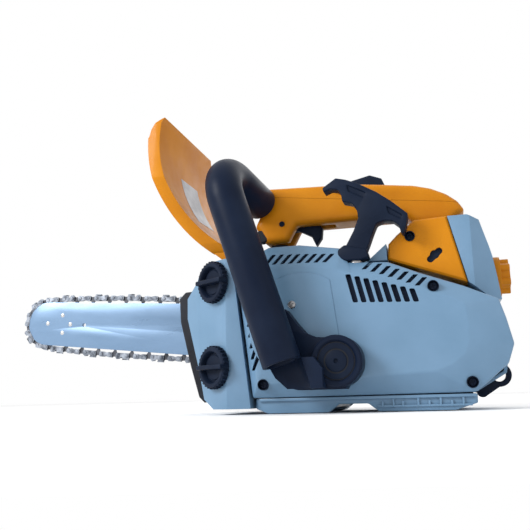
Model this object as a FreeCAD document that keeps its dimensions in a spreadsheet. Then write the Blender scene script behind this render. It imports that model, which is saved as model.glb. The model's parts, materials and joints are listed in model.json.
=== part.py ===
import FreeCAD, Part
import math
import os
import re
import Sketcher
from FreeCAD import Rotation, Vector

# Top-handle chainsaw. X points to the rear, Y to the right-hand (bar) side, Z up. The origin is on
# the plane that the saw stands on, straight below the crankshaft's axis, midway across the handle.

SIZES = [
    # name, value in mm or degrees, meaning
    ("crank_z", 68, "height of the crankshaft's axis"),
    ("wall", 2.4, "wall of the plastic covers"),
    ("gap", 0.3, "space left between neighbouring pieces"),
    ("running", 0.05, "radial clearance of a shaft in its bore"),
    ("left_face", -62, "outer face of the starter cover"),
    ("left_joint", -24, "plane where the starter cover meets the engine"),
    ("right_face", 42, "right face of the housings"),
    ("base_top", 11.5, "top of the base tray"),
    ("base_front", -36, "front end of the base tray"),
    ("base_rear", 131, "rear end of the base tray"),
    ("nose_x", -101, "foremost point of the front housing"),
    ("cover_rear", 159, "rearmost point of the starter cover"),
    ("shoulder_z", 131, "top of the starter cover and front housing"),
    ("front_top", 124, "top of the front housing"),
    ("cowl_top", 121, "top of the engine cowl under the hand"),
    ("handle_under", 157, "underside of the top handle"),
    ("handle_top", 193, "highest point of the top handle"),
    ("handle_half", 17, "half of the top handle's width"),
    ("seam_z", 181, "seam of the handle's top cover at its front end"),
    ("rear_half", 38, "half of the rear housing's width"),
    ("tube_r", 14.5, "outer radius of the front handle tube"),
    ("tube_wall", 3, "wall of the front handle tube"),
    ("tube_y", -93, "middle of the front handle tube"),
    ("boss_r", 19, "radius of the handle bracket's boss"),
    ("stud_x", -56, "stud that holds the guide bar"),
    ("stud_z", 72.9, "stud that holds the guide bar"),
    ("stud_r", 3, "radius of that stud"),
    ("bar_y", 48, "middle plane of the guide bar"),
    ("bar_thick", 3.4, "thickness of the guide bar"),
    ("bar_reach", 286, "distance from crankshaft to the nose sprocket"),
    ("bar_tilt", 5, "upward tilt of the guide bar"),
    ("bar_nose_r", 22, "radius of the guide bar's nose"),
    ("bar_half", 26, "half of the guide bar's height at its root"),
    ("strap", 3.4, "half of the height of a chain strap"),
    ("rim_r", 14.2, "radius of the drive sprocket's rims"),
    ("drum_r", 29.5, "outer radius of the clutch drum"),
    ("drum_in", 33, "inner face of the clutch drum"),
    ("drum_out", 43, "outer face of the clutch drum"),
    ("flywheel_r", 38, "radius of the flywheel"),
    ("shaft_r", 5, "radius of the crankshaft's ends"),
    ("case_r", 34, "outer radius of the crankcase"),
    ("bore_r", 17, "radius of the cylinder's bore"),
    ("head_x", 84, "distance from crankshaft to the cylinder head"),
    ("fin_half", 24, "half of the width of the cylinder's fins"),
    ("pulley_r", 30, "radius of the starter pulley"),
    ("rope_r", 24, "radius at which the rope winds on the pulley"),
    ("rope_x", 48, "where the starter rope leaves the cover"),
    ("rope_y", -48.5, "plane of the starter rope"),
    ("rope_z", 118.5, "height where the starter rope leaves the cover"),
    ("pull_tilt", 30, "lean of the starter grip to the rear"),
    ("guard_x", -5.5, "centre of the guard's curve"),
    ("guard_z", 224.5, "centre of the guard's curve"),
    ("guard_r", 114, "outer radius of the guard's curve"),
    ("guard_lip", 10.5, "depth of the guard's stiffening lip"),
    ("guard_thick", 4, "thickness of the guard"),
    ("guard_left", -70, "left edge of the guard"),
    ("guard_right", 62, "right edge of the guard"),
    ("guard_top", 251.5, "top edge of the guard"),
    ("pivot_x", -48, "axis of the guard"),
    ("pivot_z", 124, "axis of the guard"),
    ("pin_r", 3, "radius of the guard's pivot pins"),
    ("arm_left", -42, "left face of the guard's left arm"),
    ("cap_r", 17.5, "radius of the fuel and oil caps"),
    ("cap_turn", 33, "how far the cap face turns from the left towards the front"),
    ("fuel_cap_x", -66, "middle of the fuel cap"),
    ("cap_inset", 15.2, "from the starter cover's face to the middle of the fuel cap"),
    ("fuel_cap_z", 106, "middle of the fuel cap"),
    ("oil_cap_z", 37, "middle of the oil cap"),
    ("trigger_x", -18, "axis of the throttle trigger"),
    ("trigger_z", 159, "axis of the throttle trigger"),
    ("lever_half", 4.5, "half of the width of trigger and lockout"),
    ("lockout_x", 34, "axis of the throttle lockout"),
    ("lockout_z", 181, "axis of the throttle lockout"),
    ("knob_x", 152.3, "front face of the filter knob"),
    ("knob_z", 103, "axis of the filter knob"),
    ("foot_flat", 22, "half of the flat under the crankshaft"),
]
NAMES = {row[0] for row in SIZES}
SIZE = {row[0]: row[1] for row in SIZES}

doc = FreeCAD.newDocument("chainsaw")
sheet = doc.addObject("Spreadsheet::Sheet", "size")
nodes = []

AXES = {"X": Rotation(Vector(0, 1, 0), 90), "Y": Rotation(Vector(1, 0, 0), -90), "Z": Rotation()}
ORDER = {"X": ("x", "y", "z"), "Y": ("y", "x", "z"), "Z": ("z", "x", "y")}
PLANES = {"X": "YZ_Plane", "Y": "XZ_Plane", "Z": "XY_Plane"}


def fill_sheet():
    """Every driving dimension gets a row of its own: its meaning, and its value with an alias."""
    for row, (name, value, meaning) in enumerate(SIZES, 1):
        sheet.set("A%d" % row, meaning)
        sheet.set("B%d" % row, str(value))
        sheet.setAlias("B%d" % row, name)
    doc.recompute()


def bound(text):
    """An expression in which each size's name refers to its cell."""
    def cell(word):
        return "size." + word.group() if word.group() in NAMES else word.group()
    return re.sub(r"[a-z][a-z0-9_]*", cell, str(text))


def tie(piece, **places):
    """Binds properties to expressions; a double underscore in a name stands for a dot."""
    for place, text in places.items():
        piece.setExpression(place.replace("__", "."), bound(text))
    return piece


def place(piece, x, y, z, axis=(0, 0, 1), angle="0"):
    """Puts a piece at a point, turned about an axis."""
    spot = "vector(%s; %s; %s)" % (x, y, z)
    turn = "rotation(vector(%g; %g; %g); %s)" % (axis + (angle,))
    piece.setExpression("Placement", bound("placement(%s; %s)" % (spot, turn)))
    return piece


def node(name, piece):
    """Marks a piece as a finished sub-part with a name of its own."""
    piece.Label = name
    nodes.append(piece)
    return piece


def block(name, x, y, z):
    """A box between a low and a high expression along each axis."""
    piece = doc.addObject("Part::Box", name)
    tie(piece, Length="(%s) - (%s)" % (x[1], x[0]), Width="(%s) - (%s)" % (y[1], y[0]))
    tie(piece, Height="(%s) - (%s)" % (z[1], z[0]))
    return tie(piece, Placement__Base__x=x[0], Placement__Base__y=y[0], Placement__Base__z=z[0])


def rod(name, axis, centre, span, radius):
    """A cylinder along an axis between two ends; centre holds its two other coordinates."""
    piece = doc.addObject("Part::Cylinder", name)
    piece.Placement.Rotation = AXES[axis]
    tie(piece, Radius=radius, Height="(%s) - (%s)" % (span[1], span[0]))
    for letter, text in zip(ORDER[axis], (span[0],) + tuple(centre)):
        piece.setExpression("Placement.Base." + letter, bound(text))
    return piece


def fuse(name, *pieces):
    """One piece out of several."""
    piece = doc.addObject("Part::MultiFuse", name)
    piece.Shapes = list(pieces)
    return piece


def cut(name, base, *tools):
    """A piece with tools taken out of it."""
    piece = doc.addObject("Part::Cut", name)
    piece.Base = base
    piece.Tool = tools[0] if len(tools) == 1 else fuse(name + "_tools", *tools)
    return piece


def common(name, first, second):
    """What two pieces share."""
    piece = doc.addObject("Part::Common", name)
    piece.Base = first
    piece.Tool = second
    return piece


def ring(name, axis, centre, span, outer, inner):
    """A cylinder with a hole along its whole length."""
    longer = ("(%s) - 1" % span[0], "(%s) + 1" % span[1])
    disc = rod(name + "_disc", axis, centre, span, outer)
    return cut(name, disc, rod(name + "_hole", axis, centre, longer, inner))


def slab(name, axis, points, low, high):
    """A body padded from a closed outline of straight runs, from low to high along an axis."""
    body = doc.addObject("PartDesign::Body", name)
    outline = body.newObject("Sketcher::SketchObject", name + "_outline")
    role = PLANES[axis]
    flat = [item for item in body.Origin.OriginFeatures if item.Role == role]
    outline.AttachmentSupport = (flat[0], [""])
    outline.MapMode = "FlatFace"
    start = "-(%s)" % high if axis == "Y" else low
    tie(outline, AttachmentOffset__Base__z=start)
    corners = len(points)
    for index in range(corners):
        here = 2 * math.pi * index / corners
        there = 2 * math.pi * (index + 1) / corners
        ends = [Vector(50 * math.cos(turn), 50 * math.sin(turn), 0) for turn in (here, there)]
        outline.addGeometry(Part.LineSegment(*ends), False)
    for index in range(corners):
        outline.addConstraint(Sketcher.Constraint("Coincident", index, 2, (index + 1) % corners, 1))
    for index, point in enumerate(points):
        for kind, text in zip(("DistanceX", "DistanceY"), point):
            number = outline.addConstraint(Sketcher.Constraint(kind, -1, 1, index, 1, 10.0 + index))
            outline.setExpression("Constraints[%d]" % number, bound(text))
    pad = body.newObject("PartDesign::Pad", name + "_pad")
    pad.Profile = outline
    tie(pad, Length="(%s) - (%s)" % (high, low))
    doc.recompute()
    return body


def dress(body, kind, size, wanted):
    """Rounds or chamfers the edges of a body that a test picks out."""
    base = body.Tip
    picked = ["Edge%d" % n for n, edge in enumerate(base.Shape.Edges, 1) if wanted(edge)]
    feature = body.newObject("PartDesign::" + kind, body.Name + "_" + kind.lower())
    feature.Base = (base, picked)
    tie(feature, **{"Radius" if kind == "Fillet" else "Size": size})
    doc.recompute()
    return body


def inset(points, outline, wall):
    """The points of an outline moved inwards by a wall."""
    spots = [line.StartPoint for line in outline.Geometry]
    count = len(spots)
    area = sum(spots[n - 1].cross(spots[n]).z for n in range(count))
    hand = math.copysign(1, area)
    moved = []
    for n, (first, second) in enumerate(points):
        before = (spots[n] - spots[n - 1]).normalize()
        after = (spots[(n + 1) % count] - spots[n]).normalize()
        inward = Vector(-before.y, before.x, 0) * hand
        onward = Vector(-after.y, after.x, 0) * hand
        push = (inward + onward) * (1 / (1 + inward.dot(onward)))
        moved.append(("(%s) + %.4f * %s" % (first, push.x, wall),
                      "(%s) + %.4f * %s" % (second, push.y, wall)))
    return moved


def case(name, points, low, high, bevel, closed):
    """A hollow slab across the saw with even walls; closed says which of its two sides are shut."""
    outer = slab(name + "_outer", "Y", points, low, high)
    outline = outer.Group[0]
    box = outer.Shape.BoundBox
    start = "(%s) + wall" % low if "low" in closed else "(%s) - 1" % low
    end = "(%s) - wall" % high if "high" in closed else "(%s) + 1" % high
    inner = slab(name + "_inner", "Y", inset(points, outline, "wall"), start, end)
    room = inner.Shape.BoundBox
    sides = [(box.YMin, room.YMin)] if "low" in closed else []
    sides += [(box.YMax, room.YMax)] if "high" in closed else []
    for body, which in ((outer, 0), (inner, 1)):
        planes = [pair[which] for pair in sides]
        size = "%s - %d * 0.586 * wall" % (bevel, which)
        dress(body, "Chamfer", size, lambda edge: any(at("Y", plane)(edge) for plane in planes))
    return cut(name, outer, inner)


def at(axis, value):
    """A test for edges and faces that lie at one coordinate."""
    letter = axis.lower()
    return lambda item: all(abs(getattr(v.Point, letter) - value) < 0.01 for v in item.Vertexes)


def along(axis):
    """A test for edges that run along an axis."""
    others = [letter for letter in "xyz" if letter != axis.lower()]

    def test(edge):
        first, last = edge.Vertexes[0].Point, edge.Vertexes[-1].Point
        return all(abs(getattr(first, letter) - getattr(last, letter)) < 0.01 for letter in others)
    return test


# ---- housings ---------------------------------------------------------------------------------

def front_housing():
    """Hollow casting in front that holds fuel above and chain oil below, with a cap on each."""
    points = [("-78", "front_top"), ("-85", "front_top - 5"), ("-89", "110"), ("nose_x", "97"),
              ("nose_x", "80"), ("-88", "37"), ("-82", "12"), ("-72", "4"), ("-38", "4"),
              ("-51.7", "front_top")]
    shape = slab("front_block", "Y", points, "left_face + 6", "right_face")
    corner = [("nose_x - 1", "left_face"), ("-48", "left_face"), ("nose_x - 1", "left_face + 35")]
    facing = slab("cap_face", "Z", corner, "0", "shoulder_z + 5")
    shape = cut("front_faceted", shape, facing)
    rooms = [block("fuel_room", ("-84", "-57"), ("-22", "right_face - 4"), ("76", "front_top - 4")),
             block("oil_room", ("-80", "-50"), ("-22", "right_face - 4"), ("10", "68"))]
    necks = []
    for name, height in (("fuel", "fuel_cap_z"), ("oil", "oil_cap_z")):
        neck = rod(name + "_neck", "Z", ("0", "0"), ("0", "48"), "cap_r - 7")
        necks.append(cap_place(neck, height, "-34"))
    stud_hole = rod("housing_stud_hole", "Y", ("stud_x", "stud_z"), ("35", "60"), "stud_r")
    notch = block("housing_notch", ("-86", "-40"), ("arm_left - 0.5", "arm_left + 6.5"),
                  ("pivot_z - 12", "shoulder_z"))
    node("front_housing", cut("front_housing", shape, stud_hole, notch, *rooms, *necks))


def cap_place(piece, height, depth="0"):
    """Sets a piece that is modelled along +Z on the slanted face of the front housing."""
    outward = "rotation(vector(0; 0; 1); 0 - cap_turn) * rotation(vector(1; 0; 0); 90)"
    spot = "vector(fuel_cap_x; left_face + cap_inset; %s)" % height
    shift = "placement(vector(0; 0; %s); rotation(vector(0; 0; 1); 0))" % depth
    piece.setExpression("Placement", bound("placement(%s; %s) * %s" % (spot, outward, shift)))
    return piece


def guard_pin_holes():
    """Holes for the two pins that the guard swings on."""
    centre = ("pivot_x", "pivot_z")
    return [rod("left_pin_hole", "Y", centre, ("-60", "-18"), "pin_r"),
            rod("right_pin_hole", "Y", centre, ("28", "60"), "pin_r")]


def base_tray():
    """Tray under the engine with a skirt, cross ribs, two feet and a flat to stand on."""
    points = [("base_front", "base_top"), ("base_front", "4"), ("-26", "0"), ("foot_flat", "0"),
              ("30", "6"), ("52", "6"), ("60", "0"), ("115", "0"), ("base_rear", "5"),
              ("base_rear", "base_top")]
    shape = slab("tray_block", "Y", points, "-50", "right_face")
    dress(shape, "Fillet", "3", along("Z"))
    rooms = []
    for number, start in enumerate((26, 64, 82, 100)):
        rooms.append(block("tray_room_%d" % number, (str(start), "%d" % (start + 15)),
                           ("-46", "right_face - 4"), ("-1", "base_top - 3")))
    node("base_tray", cut("base_tray", shape, *rooms))


def cover_outline(rear):
    """Side outline that the starter cover and the right shroud share behind the crankcase."""
    return [("132", "13 + base_top - 11.5"), (rear + " - 4", "26"), (rear, "46"),
            (rear + " - 4", "65"), (rear + " - 8", "79"), ("127", "90")]


COVER_SCREWS = [("-26", "22"), ("128", "19.5"), ("105.5", "90")]


def shoulder_slots(name, start, pitch, low, fall, count):
    """A row of leaning slots in the bevelled shoulder of the starter cover."""
    slots = []
    for number in range(count):
        left = start + pitch * number
        foot = low + fall * number
        points = [("%g" % left, "%g" % foot), ("%g" % (left + 3.6), "%g" % foot),
                  ("%g" % (left + 9.6), "%g" % (foot + 7)), ("%g" % (left + 6), "%g" % (foot + 7))]
        slots.append(slab("%s_slot_%d" % (name, number), "Y", points, "left_face - 2", "left_face + 11"))
    return slots


def starter_cover():
    """Left-hand shell over flywheel and starter, slotted for the cooling air."""
    top = [("96", "102"), ("73", "112"), ("42", "114"), ("38", "125.5"), ("4", "shoulder_z"),
           ("-21", "shoulder_z"), ("-49", "118"), ("-37", "base_top + 0.5")]
    outline = cover_outline("cover_rear") + top
    shape = case("starter_shell", outline, "left_face", "left_joint", "9", "low")
    slots = []
    for number in range(8):
        start = 41 + 6.7 * number
        high = 103 - 2 * number
        low = 81 - 0.3 * number
        lean = 5 - 0.3 * number
        points = [("%g" % start, "%g" % high), ("%g" % (start + 4), "%g" % (high + 0.5)),
                  ("%g" % (start + lean + 4), "%g" % (low + 0.5)),
                  ("%g" % (start + lean), "%g" % low)]
        slots.append(slab("side_slot_%d" % number, "Y", points, "left_face - 2", "left_face + 5"))
    for number in range(6):
        start = -40.5 + 0.9 * number
        low = 76 - 8.6 * number
        points = [("%g" % start, "%g" % low), ("%g" % (start + 3.4), "%g" % low),
                  ("%g" % (start + 13), "%g" % (low + 20)), ("%g" % (start + 9.6), "%g" % (low + 20))]
        slots.append(slab("front_slot_%d" % number, "Y", points, "left_face - 2", "left_face + 12"))
    slots += shoulder_slots("upper", -24, 6.7, 116, 0, 8) + shoulder_slots("lower", 53, 6.5, 107.5, -2.6, 7)
    notch = block("cover_notch", ("-60", "-36"), ("arm_left - 0.5", "arm_left + 6.5"),
                  ("pivot_z - 12", "shoulder_z + 2"))
    holes = [rod("screw_hole_%d" % n, "Y", spot, ("left_face - 3", "left_face + 8"), "3")
             for n, spot in enumerate(COVER_SCREWS)]
    post = rod("pulley_post", "Y", ("0", "crank_z"), ("left_face + wall", "-45"), "5.9")
    post_hole = rod("post_hole", "Y", ("0", "crank_z"), ("left_face + 4", "-40"), "2")
    way = rod("rope_way", "Z", ("rope_x", "rope_y"), ("rope_z - 12", "rope_z + 8"), "5")
    cover = cut("starter_open", shape, way, notch, *holes, *slots)
    node("starter_cover", fuse("starter_cover", cover, cut("pulley_stub", post, post_hole)))


def rope_guide():
    """Eyelet that the starter rope runs through."""
    centre = ("rope_x", "rope_y")
    collar = ring("guide_collar", "Z", centre, ("rope_z - 6.5", "rope_z - 3.4"), "4.9", "2.2")
    node("rope_guide", collar)


def engine_cowl():
    """Cover over the crankcase and cylinder, below the hand gap, with a hump in front of the filter."""
    points = [("-50.5", "118"), ("-50.5", "shoulder_z - 5"), ("-10", "shoulder_z - 5"),
              ("10", "cowl_top"), ("71.5", "cowl_top"), ("71.5", "104"), ("-38", "104")]
    shape = case("cowl_shell", points, "left_joint + gap", "right_face", "0.65 * wall", "low high")
    below = block("cowl_below", ("-36", "69"), ("left_joint + gap + wall", "right_face - wall"),
                  ("100", "110"))
    shape = cut("cowl_open", shape, below)
    ramp = [("56", "cowl_top - 0.5"), ("71.5", "cowl_top - 0.5"), ("71.5", "129")]
    hump = slab("cowl_hump", "Y", ramp, "left_joint + gap", "30")
    wing = slab("cowl_wing", "Y", [("56", "116"), ("71.5", "116"), ("71.5", "129")],
                "-40", "left_joint + gap")
    way = block("manifold_exit", ("65", "75"), ("-9.5", "9.5"), ("98", "116"))
    node("engine_cowl", cut("engine_cowl", fuse("cowl_whole", shape, hump, wing), way,
                            *guard_pin_holes()))


def right_shroud():
    """Right-hand and rear shell round the cylinder and muffler."""
    top = [("127", "94"), ("73", "103.5"), ("37", "103.5"), ("37", "base_top + 0.5")]
    outline = [("132", "base_top + 1.5")] + cover_outline("cover_rear - 1")[1:5] + top
    shape = case("shroud_shell", outline, "left_joint + gap", "right_face", "7", "high")
    front = block("shroud_front", ("36", "44"), ("left_joint - 1", "right_face - wall - 5"),
                  ("base_top + 0.5 + wall", "103.5 - wall"))
    vents = [block("shroud_vent_%d" % n, (str(60 + 10 * n), str(65 + 10 * n)),
                   ("right_face - 5", "right_face + 2"), ("60", "86")) for n in range(6)]
    outlet = rod("shroud_outlet", "Y", ("80", "30"), ("right_face - 5", "right_face + 2"), "6.5")
    ring_way = block("ring_way", ("120", "162"), ("-14.5", "-6.5"), ("4", "36"))
    intake_way = block("intake_way", ("47", "97"), ("-10", "10"), ("98", "106"))
    node("right_shroud", cut("right_shroud", shape, front, outlet, ring_way, intake_way, *vents))


def rear_housing():
    """Box under the rear of the handle for carburettor and air filter, open to the rear."""
    points = [("72", "117"), ("73", "129"), ("80", "136"), ("94", "147"), ("119", "148"),
              ("131", "95")]
    shape = case("rear_shell", points, "0 - rear_half", "rear_half", "0.65 * wall", "low high")
    mouth = slab("rear_mouth", "Y", [("112", "144"), ("125", "144"), ("136", "100"), ("123", "102")],
                 "wall - rear_half", "rear_half - wall")
    hole = rod("side_hole", "Y", ("108", "118"), ("-45", "0 - rear_half + 5"), "3.6")
    manifold_way = rod("manifold_way", "Z", ("86", "0"), ("100", "125"), "9.5")
    screw_way = rod("rear_screw_way", "Y", ("90", "134"), ("-45", "0 - rear_half + 8"), "3")
    choke_way = rod("choke_way", "Y", ("100", "128"), ("30", "45"), "2.5 + running")
    node("rear_housing", cut("rear_housing", shape, mouth, hole, manifold_way, screw_way, choke_way))


def handle_block(name):
    """Side outline of the whole top handle as one rounded block."""
    points = [("-34", "handle_top"), ("45", "handle_top - 3.5"), ("69", "handle_top - 6.5"),
              ("94.5", "handle_top - 10"), ("108.5", "handle_top - 14"), ("120.5", "handle_top - 20"),
              ("129", "handle_top - 27"), ("134", "158"),
              ("122", "148.4"), ("94.5", "148.4"), ("86", "handle_under"),
              ("-6", "handle_under"), ("-13", "144"), ("-34", "143"), ("-43", "159"),
              ("-37", "171")]
    shape = slab(name, "Y", points, "0 - handle_half", "handle_half")
    return dress(shape, "Fillet", "6", lambda edge: at("Y", -SIZE["handle_half"])(edge)
                 or at("Y", SIZE["handle_half"])(edge))


def above_seam(name):
    """Everything above the seam between the handle and its top cover."""
    points = [("-60", "seam_z + 1"), ("-16", "seam_z"), ("30", "seam_z - 3"), ("103", "168"),
              ("117", "155"), ("136", "154"), ("180", "154"), ("180", "230"), ("-60", "230")]
    return slab(name, "Y", points, "-40", "40")


def handle_rooms(name):
    """The space inside the handle for trigger, lockout and throttle rod."""
    wide = "lever_half + 1"
    front = block(name + "_front", ("-29", "26"), ("-(%s)" % wide, wide), ("140", "seam_z - 6"))
    rear = block(name + "_rear", ("20", "96"), ("-(%s)" % wide, wide), ("163", "168"))
    slot = block(name + "_slot", ("28", "76"), ("-(%s)" % wide, wide), ("164", "230"))
    return fuse(name, front, rear, slot)


def handles():
    """The orange top handle and the cover that closes it along the seam."""
    lower = cut("handle_lower", handle_block("handle_whole"), above_seam("seam_a"))
    trigger_hole = rod("trigger_pin_hole", "Y", ("trigger_x", "trigger_z"), ("-30", "30"), "2")
    node("top_handle", cut("top_handle", lower, handle_rooms("lower_rooms"), trigger_hole))
    upper = common("handle_upper", handle_block("handle_again"), above_seam("seam_b"))
    lockout_hole = rod("lockout_hole", "Y", ("lockout_x", "lockout_z"), ("-30", "30"), "1.5")
    node("handle_cover", cut("handle_cover", upper, handle_rooms("upper_rooms"), lockout_hole))


def filter_cover():
    """Rear cover over the air filter, which comes off to the rear."""
    points = [("119.6", "147.7"), ("134", "147.7"), ("143", "144"), ("149", "124"),
              ("151", "116"), ("153.5", "99"), ("155.5", "82"), ("150", "81"), ("131.6", "95")]
    shape = slab("filter_block", "Y", points, "0 - rear_half", "rear_half")
    above = [("100", "0 - rear_half"), ("136", "0 - rear_half"), ("148", "10 - rear_half"),
             ("170", "20 - rear_half"), ("170", "rear_half - 20"), ("148", "rear_half - 10"),
             ("136", "rear_half"), ("100", "rear_half")]
    facets = slab("filter_facets", "Z", above, "70", "170")
    inside = [("119", "145.3"), ("133", "145.3"), ("140.5", "141"), ("146", "123"), ("147.6", "116"),
              ("149.2", "99"), ("150.2", "86"), ("149.5", "85"), ("131", "97.5")]
    room = slab("filter_room", "Y", inside, "wall - rear_half", "rear_half - wall")
    inner_view = [("100", "wall - rear_half"), ("134", "wall - rear_half"), ("146", "13 - rear_half"),
                  ("160", "20 - rear_half"), ("160", "rear_half - 20"), ("146", "rear_half - 13"),
                  ("134", "rear_half - wall"), ("100", "rear_half - wall")]
    hollow = common("filter_hollow", room, slab("filter_view", "Z", inner_view, "70", "170"))
    bolt_way = rod("bolt_way", "X", ("0", "knob_z"), ("140", "170"), "3.1")
    seat = rod("knob_seat", "X", ("0", "knob_z"), ("knob_x - 0.3", "170"), "16.6")
    outer = common("filter_outer", shape, facets)
    node("filter_cover", cut("filter_cover", outer, hollow, bolt_way, seat))


# ---- engine -----------------------------------------------------------------------------------

def crankcase():
    """Two halves with a round chamber for the crank's webs and a bearing in each wall."""
    for name, low, high, seat in (("left", "left_joint + gap", "0", ("-22", "-15")),
                                  ("right", "0", "24", ("15", "22"))):
        drum = rod(name + "_case_round", "Y", ("0", "crank_z"), (low, high), "case_r")
        neck = block(name + "_case_neck", ("0", "case_r"), (low, high), ("crank_z - 24", "crank_z + 24"))
        legs = block(name + "_case_legs", ("-28", "28"), (low, high), ("base_top", "crank_z - 20"))
        chamber = rod(name + "_chamber", "Y", ("0", "crank_z"), ("-11", "11"), "24.5")
        throat = rod(name + "_throat", "X", ("0", "crank_z"), ("10", "case_r + 1"), "bore_r + 1")
        hole = rod(name + "_bearing_hole", "Y", ("0", "crank_z"), seat, "11")
        shaft = rod(name + "_shaft_hole", "Y", ("0", "crank_z"), ("-30", "30"), "shaft_r + 1")
        whole = fuse(name + "_case_whole", drum, neck, legs)
        node("crankcase_" + name, cut("crankcase_" + name, whole, chamber, throat, hole, shaft))
    races = [ring("race_%s" % side, "Y", ("0", "crank_z"), span, "11", "shaft_r + running")
             for side, span in (("left", ("-22", "-15")), ("right", ("15", "22")))]
    node("crank_bearings", fuse("crank_bearings", *races))


def crankshaft():
    """Shaft with two webs and the crankpin between them."""
    centre = ("0", "crank_z")
    left = rod("shaft_left", "Y", centre, ("-44", "-4"), "shaft_r")
    right = rod("shaft_right", "Y", centre, ("4", "56"), "shaft_r")
    webs = [rod("web_left", "Y", centre, ("-10", "-4"), "23"),
            rod("web_right", "Y", centre, ("4", "10"), "23")]
    pin = rod("crank_pin", "Y", ("14", "crank_z"), ("-5", "5"), "4.5")
    node("crankshaft", fuse("crankshaft", left, right, pin, *webs))


def cylinder():
    """Cylinder that lies towards the rear, with a fin every few millimetres."""
    barrel = rod("barrel", "X", ("0", "crank_z"), ("case_r", "head_x"), "bore_r + 4")
    fins = []
    for number in range(8):
        start = 40 + 6 * number
        fins.append(block("fin_%d" % number, ("%g" % start, "%g" % (start + 1.8)),
                          ("0 - fin_half", "fin_half"), ("crank_z - fin_half", "crank_z + fin_half")))
    flange = block("barrel_flange", ("case_r", "case_r + 3"), ("-22", "22"),
                   ("crank_z - 22", "crank_z + 22"))
    bore = rod("bore", "X", ("0", "crank_z"), ("case_r - 1", "head_x - 5"), "bore_r")
    plug_hole = rod("plug_hole", "X", ("0", "crank_z"), ("head_x - 7", "head_x + 2"), "5")
    inlet = rod("inlet_port", "Z", ("58", "0"), ("crank_z", "crank_z + 30"), "6")
    outlet = rod("outlet_port", "Z", ("62", "0"), ("crank_z - 30", "crank_z"), "6")
    node("cylinder", cut("cylinder", fuse("barrel_finned", barrel, flange, *fins),
                         bore, plug_hole, inlet, outlet))


def piston():
    """Piston near the top of its stroke, with its pin across."""
    crown = rod("crown", "X", ("0", "crank_z"), ("50", "74"), "bore_r - running")
    inside = rod("crown_inside", "X", ("0", "crank_z"), ("49", "70"), "bore_r - 3")
    pin_way = rod("pin_way", "Y", ("58", "crank_z"), ("-20", "20"), "4")
    node("piston", cut("piston", crown, inside, pin_way))
    node("piston_pin", rod("piston_pin", "Y", ("58", "crank_z"), ("-15.5", "15.5"), "4"))


def spark_plug():
    """Plug screwed into the head and the rubber boot over its end."""
    centre = ("0", "crank_z")
    thread = rod("plug_thread", "X", centre, ("head_x - 5", "head_x"), "5")
    nut = rod("plug_nut", "X", centre, ("head_x", "head_x + 8"), "8.5")
    stem = rod("plug_stem", "X", centre, ("head_x + 8", "head_x + 24"), "4")
    node("spark_plug", fuse("spark_plug", thread, nut, stem))
    boot = rod("boot_block", "X", centre, ("head_x + 12", "head_x + 34"), "8")
    way = rod("boot_way", "X", centre, ("head_x + 11", "head_x + 24"), "4")
    node("plug_boot", cut("plug_boot", boot, way))


def muffler():
    """Flat box below the cylinder with its outlet through the right shroud."""
    box = block("muffler_box", ("46", "98"), ("-18", "right_face - 10"),
                ("base_top + 7", "crank_z - 28"))
    neck = rod("muffler_neck", "Z", ("62", "0"), ("crank_z - 30", "crank_z - fin_half - gap"), "9")
    pipe = rod("tail_pipe", "Y", ("80", "30"), ("right_face - 11", "right_face + 3"), "5.5")
    node("muffler", fuse("muffler", box, neck, pipe))


def intake():
    """Manifold, carburettor and the paper filter behind it."""
    riser = rod("manifold_riser", "Z", ("58", "0"), ("crank_z + fin_half + gap", "106"), "9")
    run = rod("manifold_run", "X", ("0", "106"), ("58", "86"), "7")
    rise = rod("manifold_rise", "Z", ("86", "0"), ("106", "121"), "7")
    node("intake_manifold", fuse("intake_manifold", riser, run, rise))
    main = block("carburettor_main", ("84", "105"), ("-16", "16"), ("121.2", "133"))
    dome = rod("carburettor_dome", "Z", ("97", "0"), ("133", "139"), "7.5")
    node("carburettor", fuse("carburettor", main, dome))
    node("air_filter", block("air_filter", ("107", "118"), ("-30", "30"), ("122", "143")))


def flywheel():
    """Magnet wheel with blades on its outer face, and the nut that holds it."""
    centre = ("0", "crank_z")
    disc = rod("flywheel_disc", "Y", centre, ("-32", "-26"), "flywheel_r")
    blades = []
    for number in range(12):
        blade = block("blade_%d" % number, ("18", "flywheel_r - 1"), ("-40", "-32"), ("-1", "1"))
        blade.setExpression("Placement", bound(
            "placement(vector(0; 0; crank_z); rotation(vector(0; 1; 0); %d)) * "
            "placement(vector(18; -40; -1); rotation(vector(0; 1; 0); 0))" % (30 * number)))
        blades.append(blade)
    hub = rod("flywheel_hub", "Y", centre, ("-40", "-26"), "13")
    shaft = rod("flywheel_way", "Y", centre, ("-41", "-25"), "shaft_r")
    node("flywheel", cut("flywheel", fuse("flywheel_whole", disc, hub, *blades), shaft))
    node("flywheel_nut", ring("flywheel_nut", "Y", centre, ("-43.6", "-40"), "8", "shaft_r"))


def ignition_coil():
    """Coil block over the flywheel's rim."""
    core = block("coil_core", ("-14", "14"), ("-38", "-27"), ("crank_z + flywheel_r + 0.5", "110"))
    coil = block("coil_winding", ("-9", "12"), ("-40", "-25"), ("110", "121"))
    node("ignition_coil", fuse("ignition_coil", core, coil))


def starter_pulley():
    """Rope pulley on the cover's post, with a groove for the rope."""
    centre = ("0", "crank_z")
    flanges = [rod("pulley_left", "Y", centre, ("-52.5", "-50.5"), "pulley_r"),
               rod("pulley_right", "Y", centre, ("-46.5", "-44.5"), "pulley_r")]
    core = rod("pulley_core", "Y", centre, ("-52.5", "-44.5"), "rope_r - 1.5")
    bore = rod("pulley_bore", "Y", centre, ("-60", "-40"), "5.9 + running")
    node("starter_pulley", cut("starter_pulley", fuse("pulley_whole", core, *flanges), bore))
    node("spring_case", ring("spring_case", "Y", centre, ("left_face + wall + gap", "-53"),
                             "pulley_r - 1", "7"))


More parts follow.
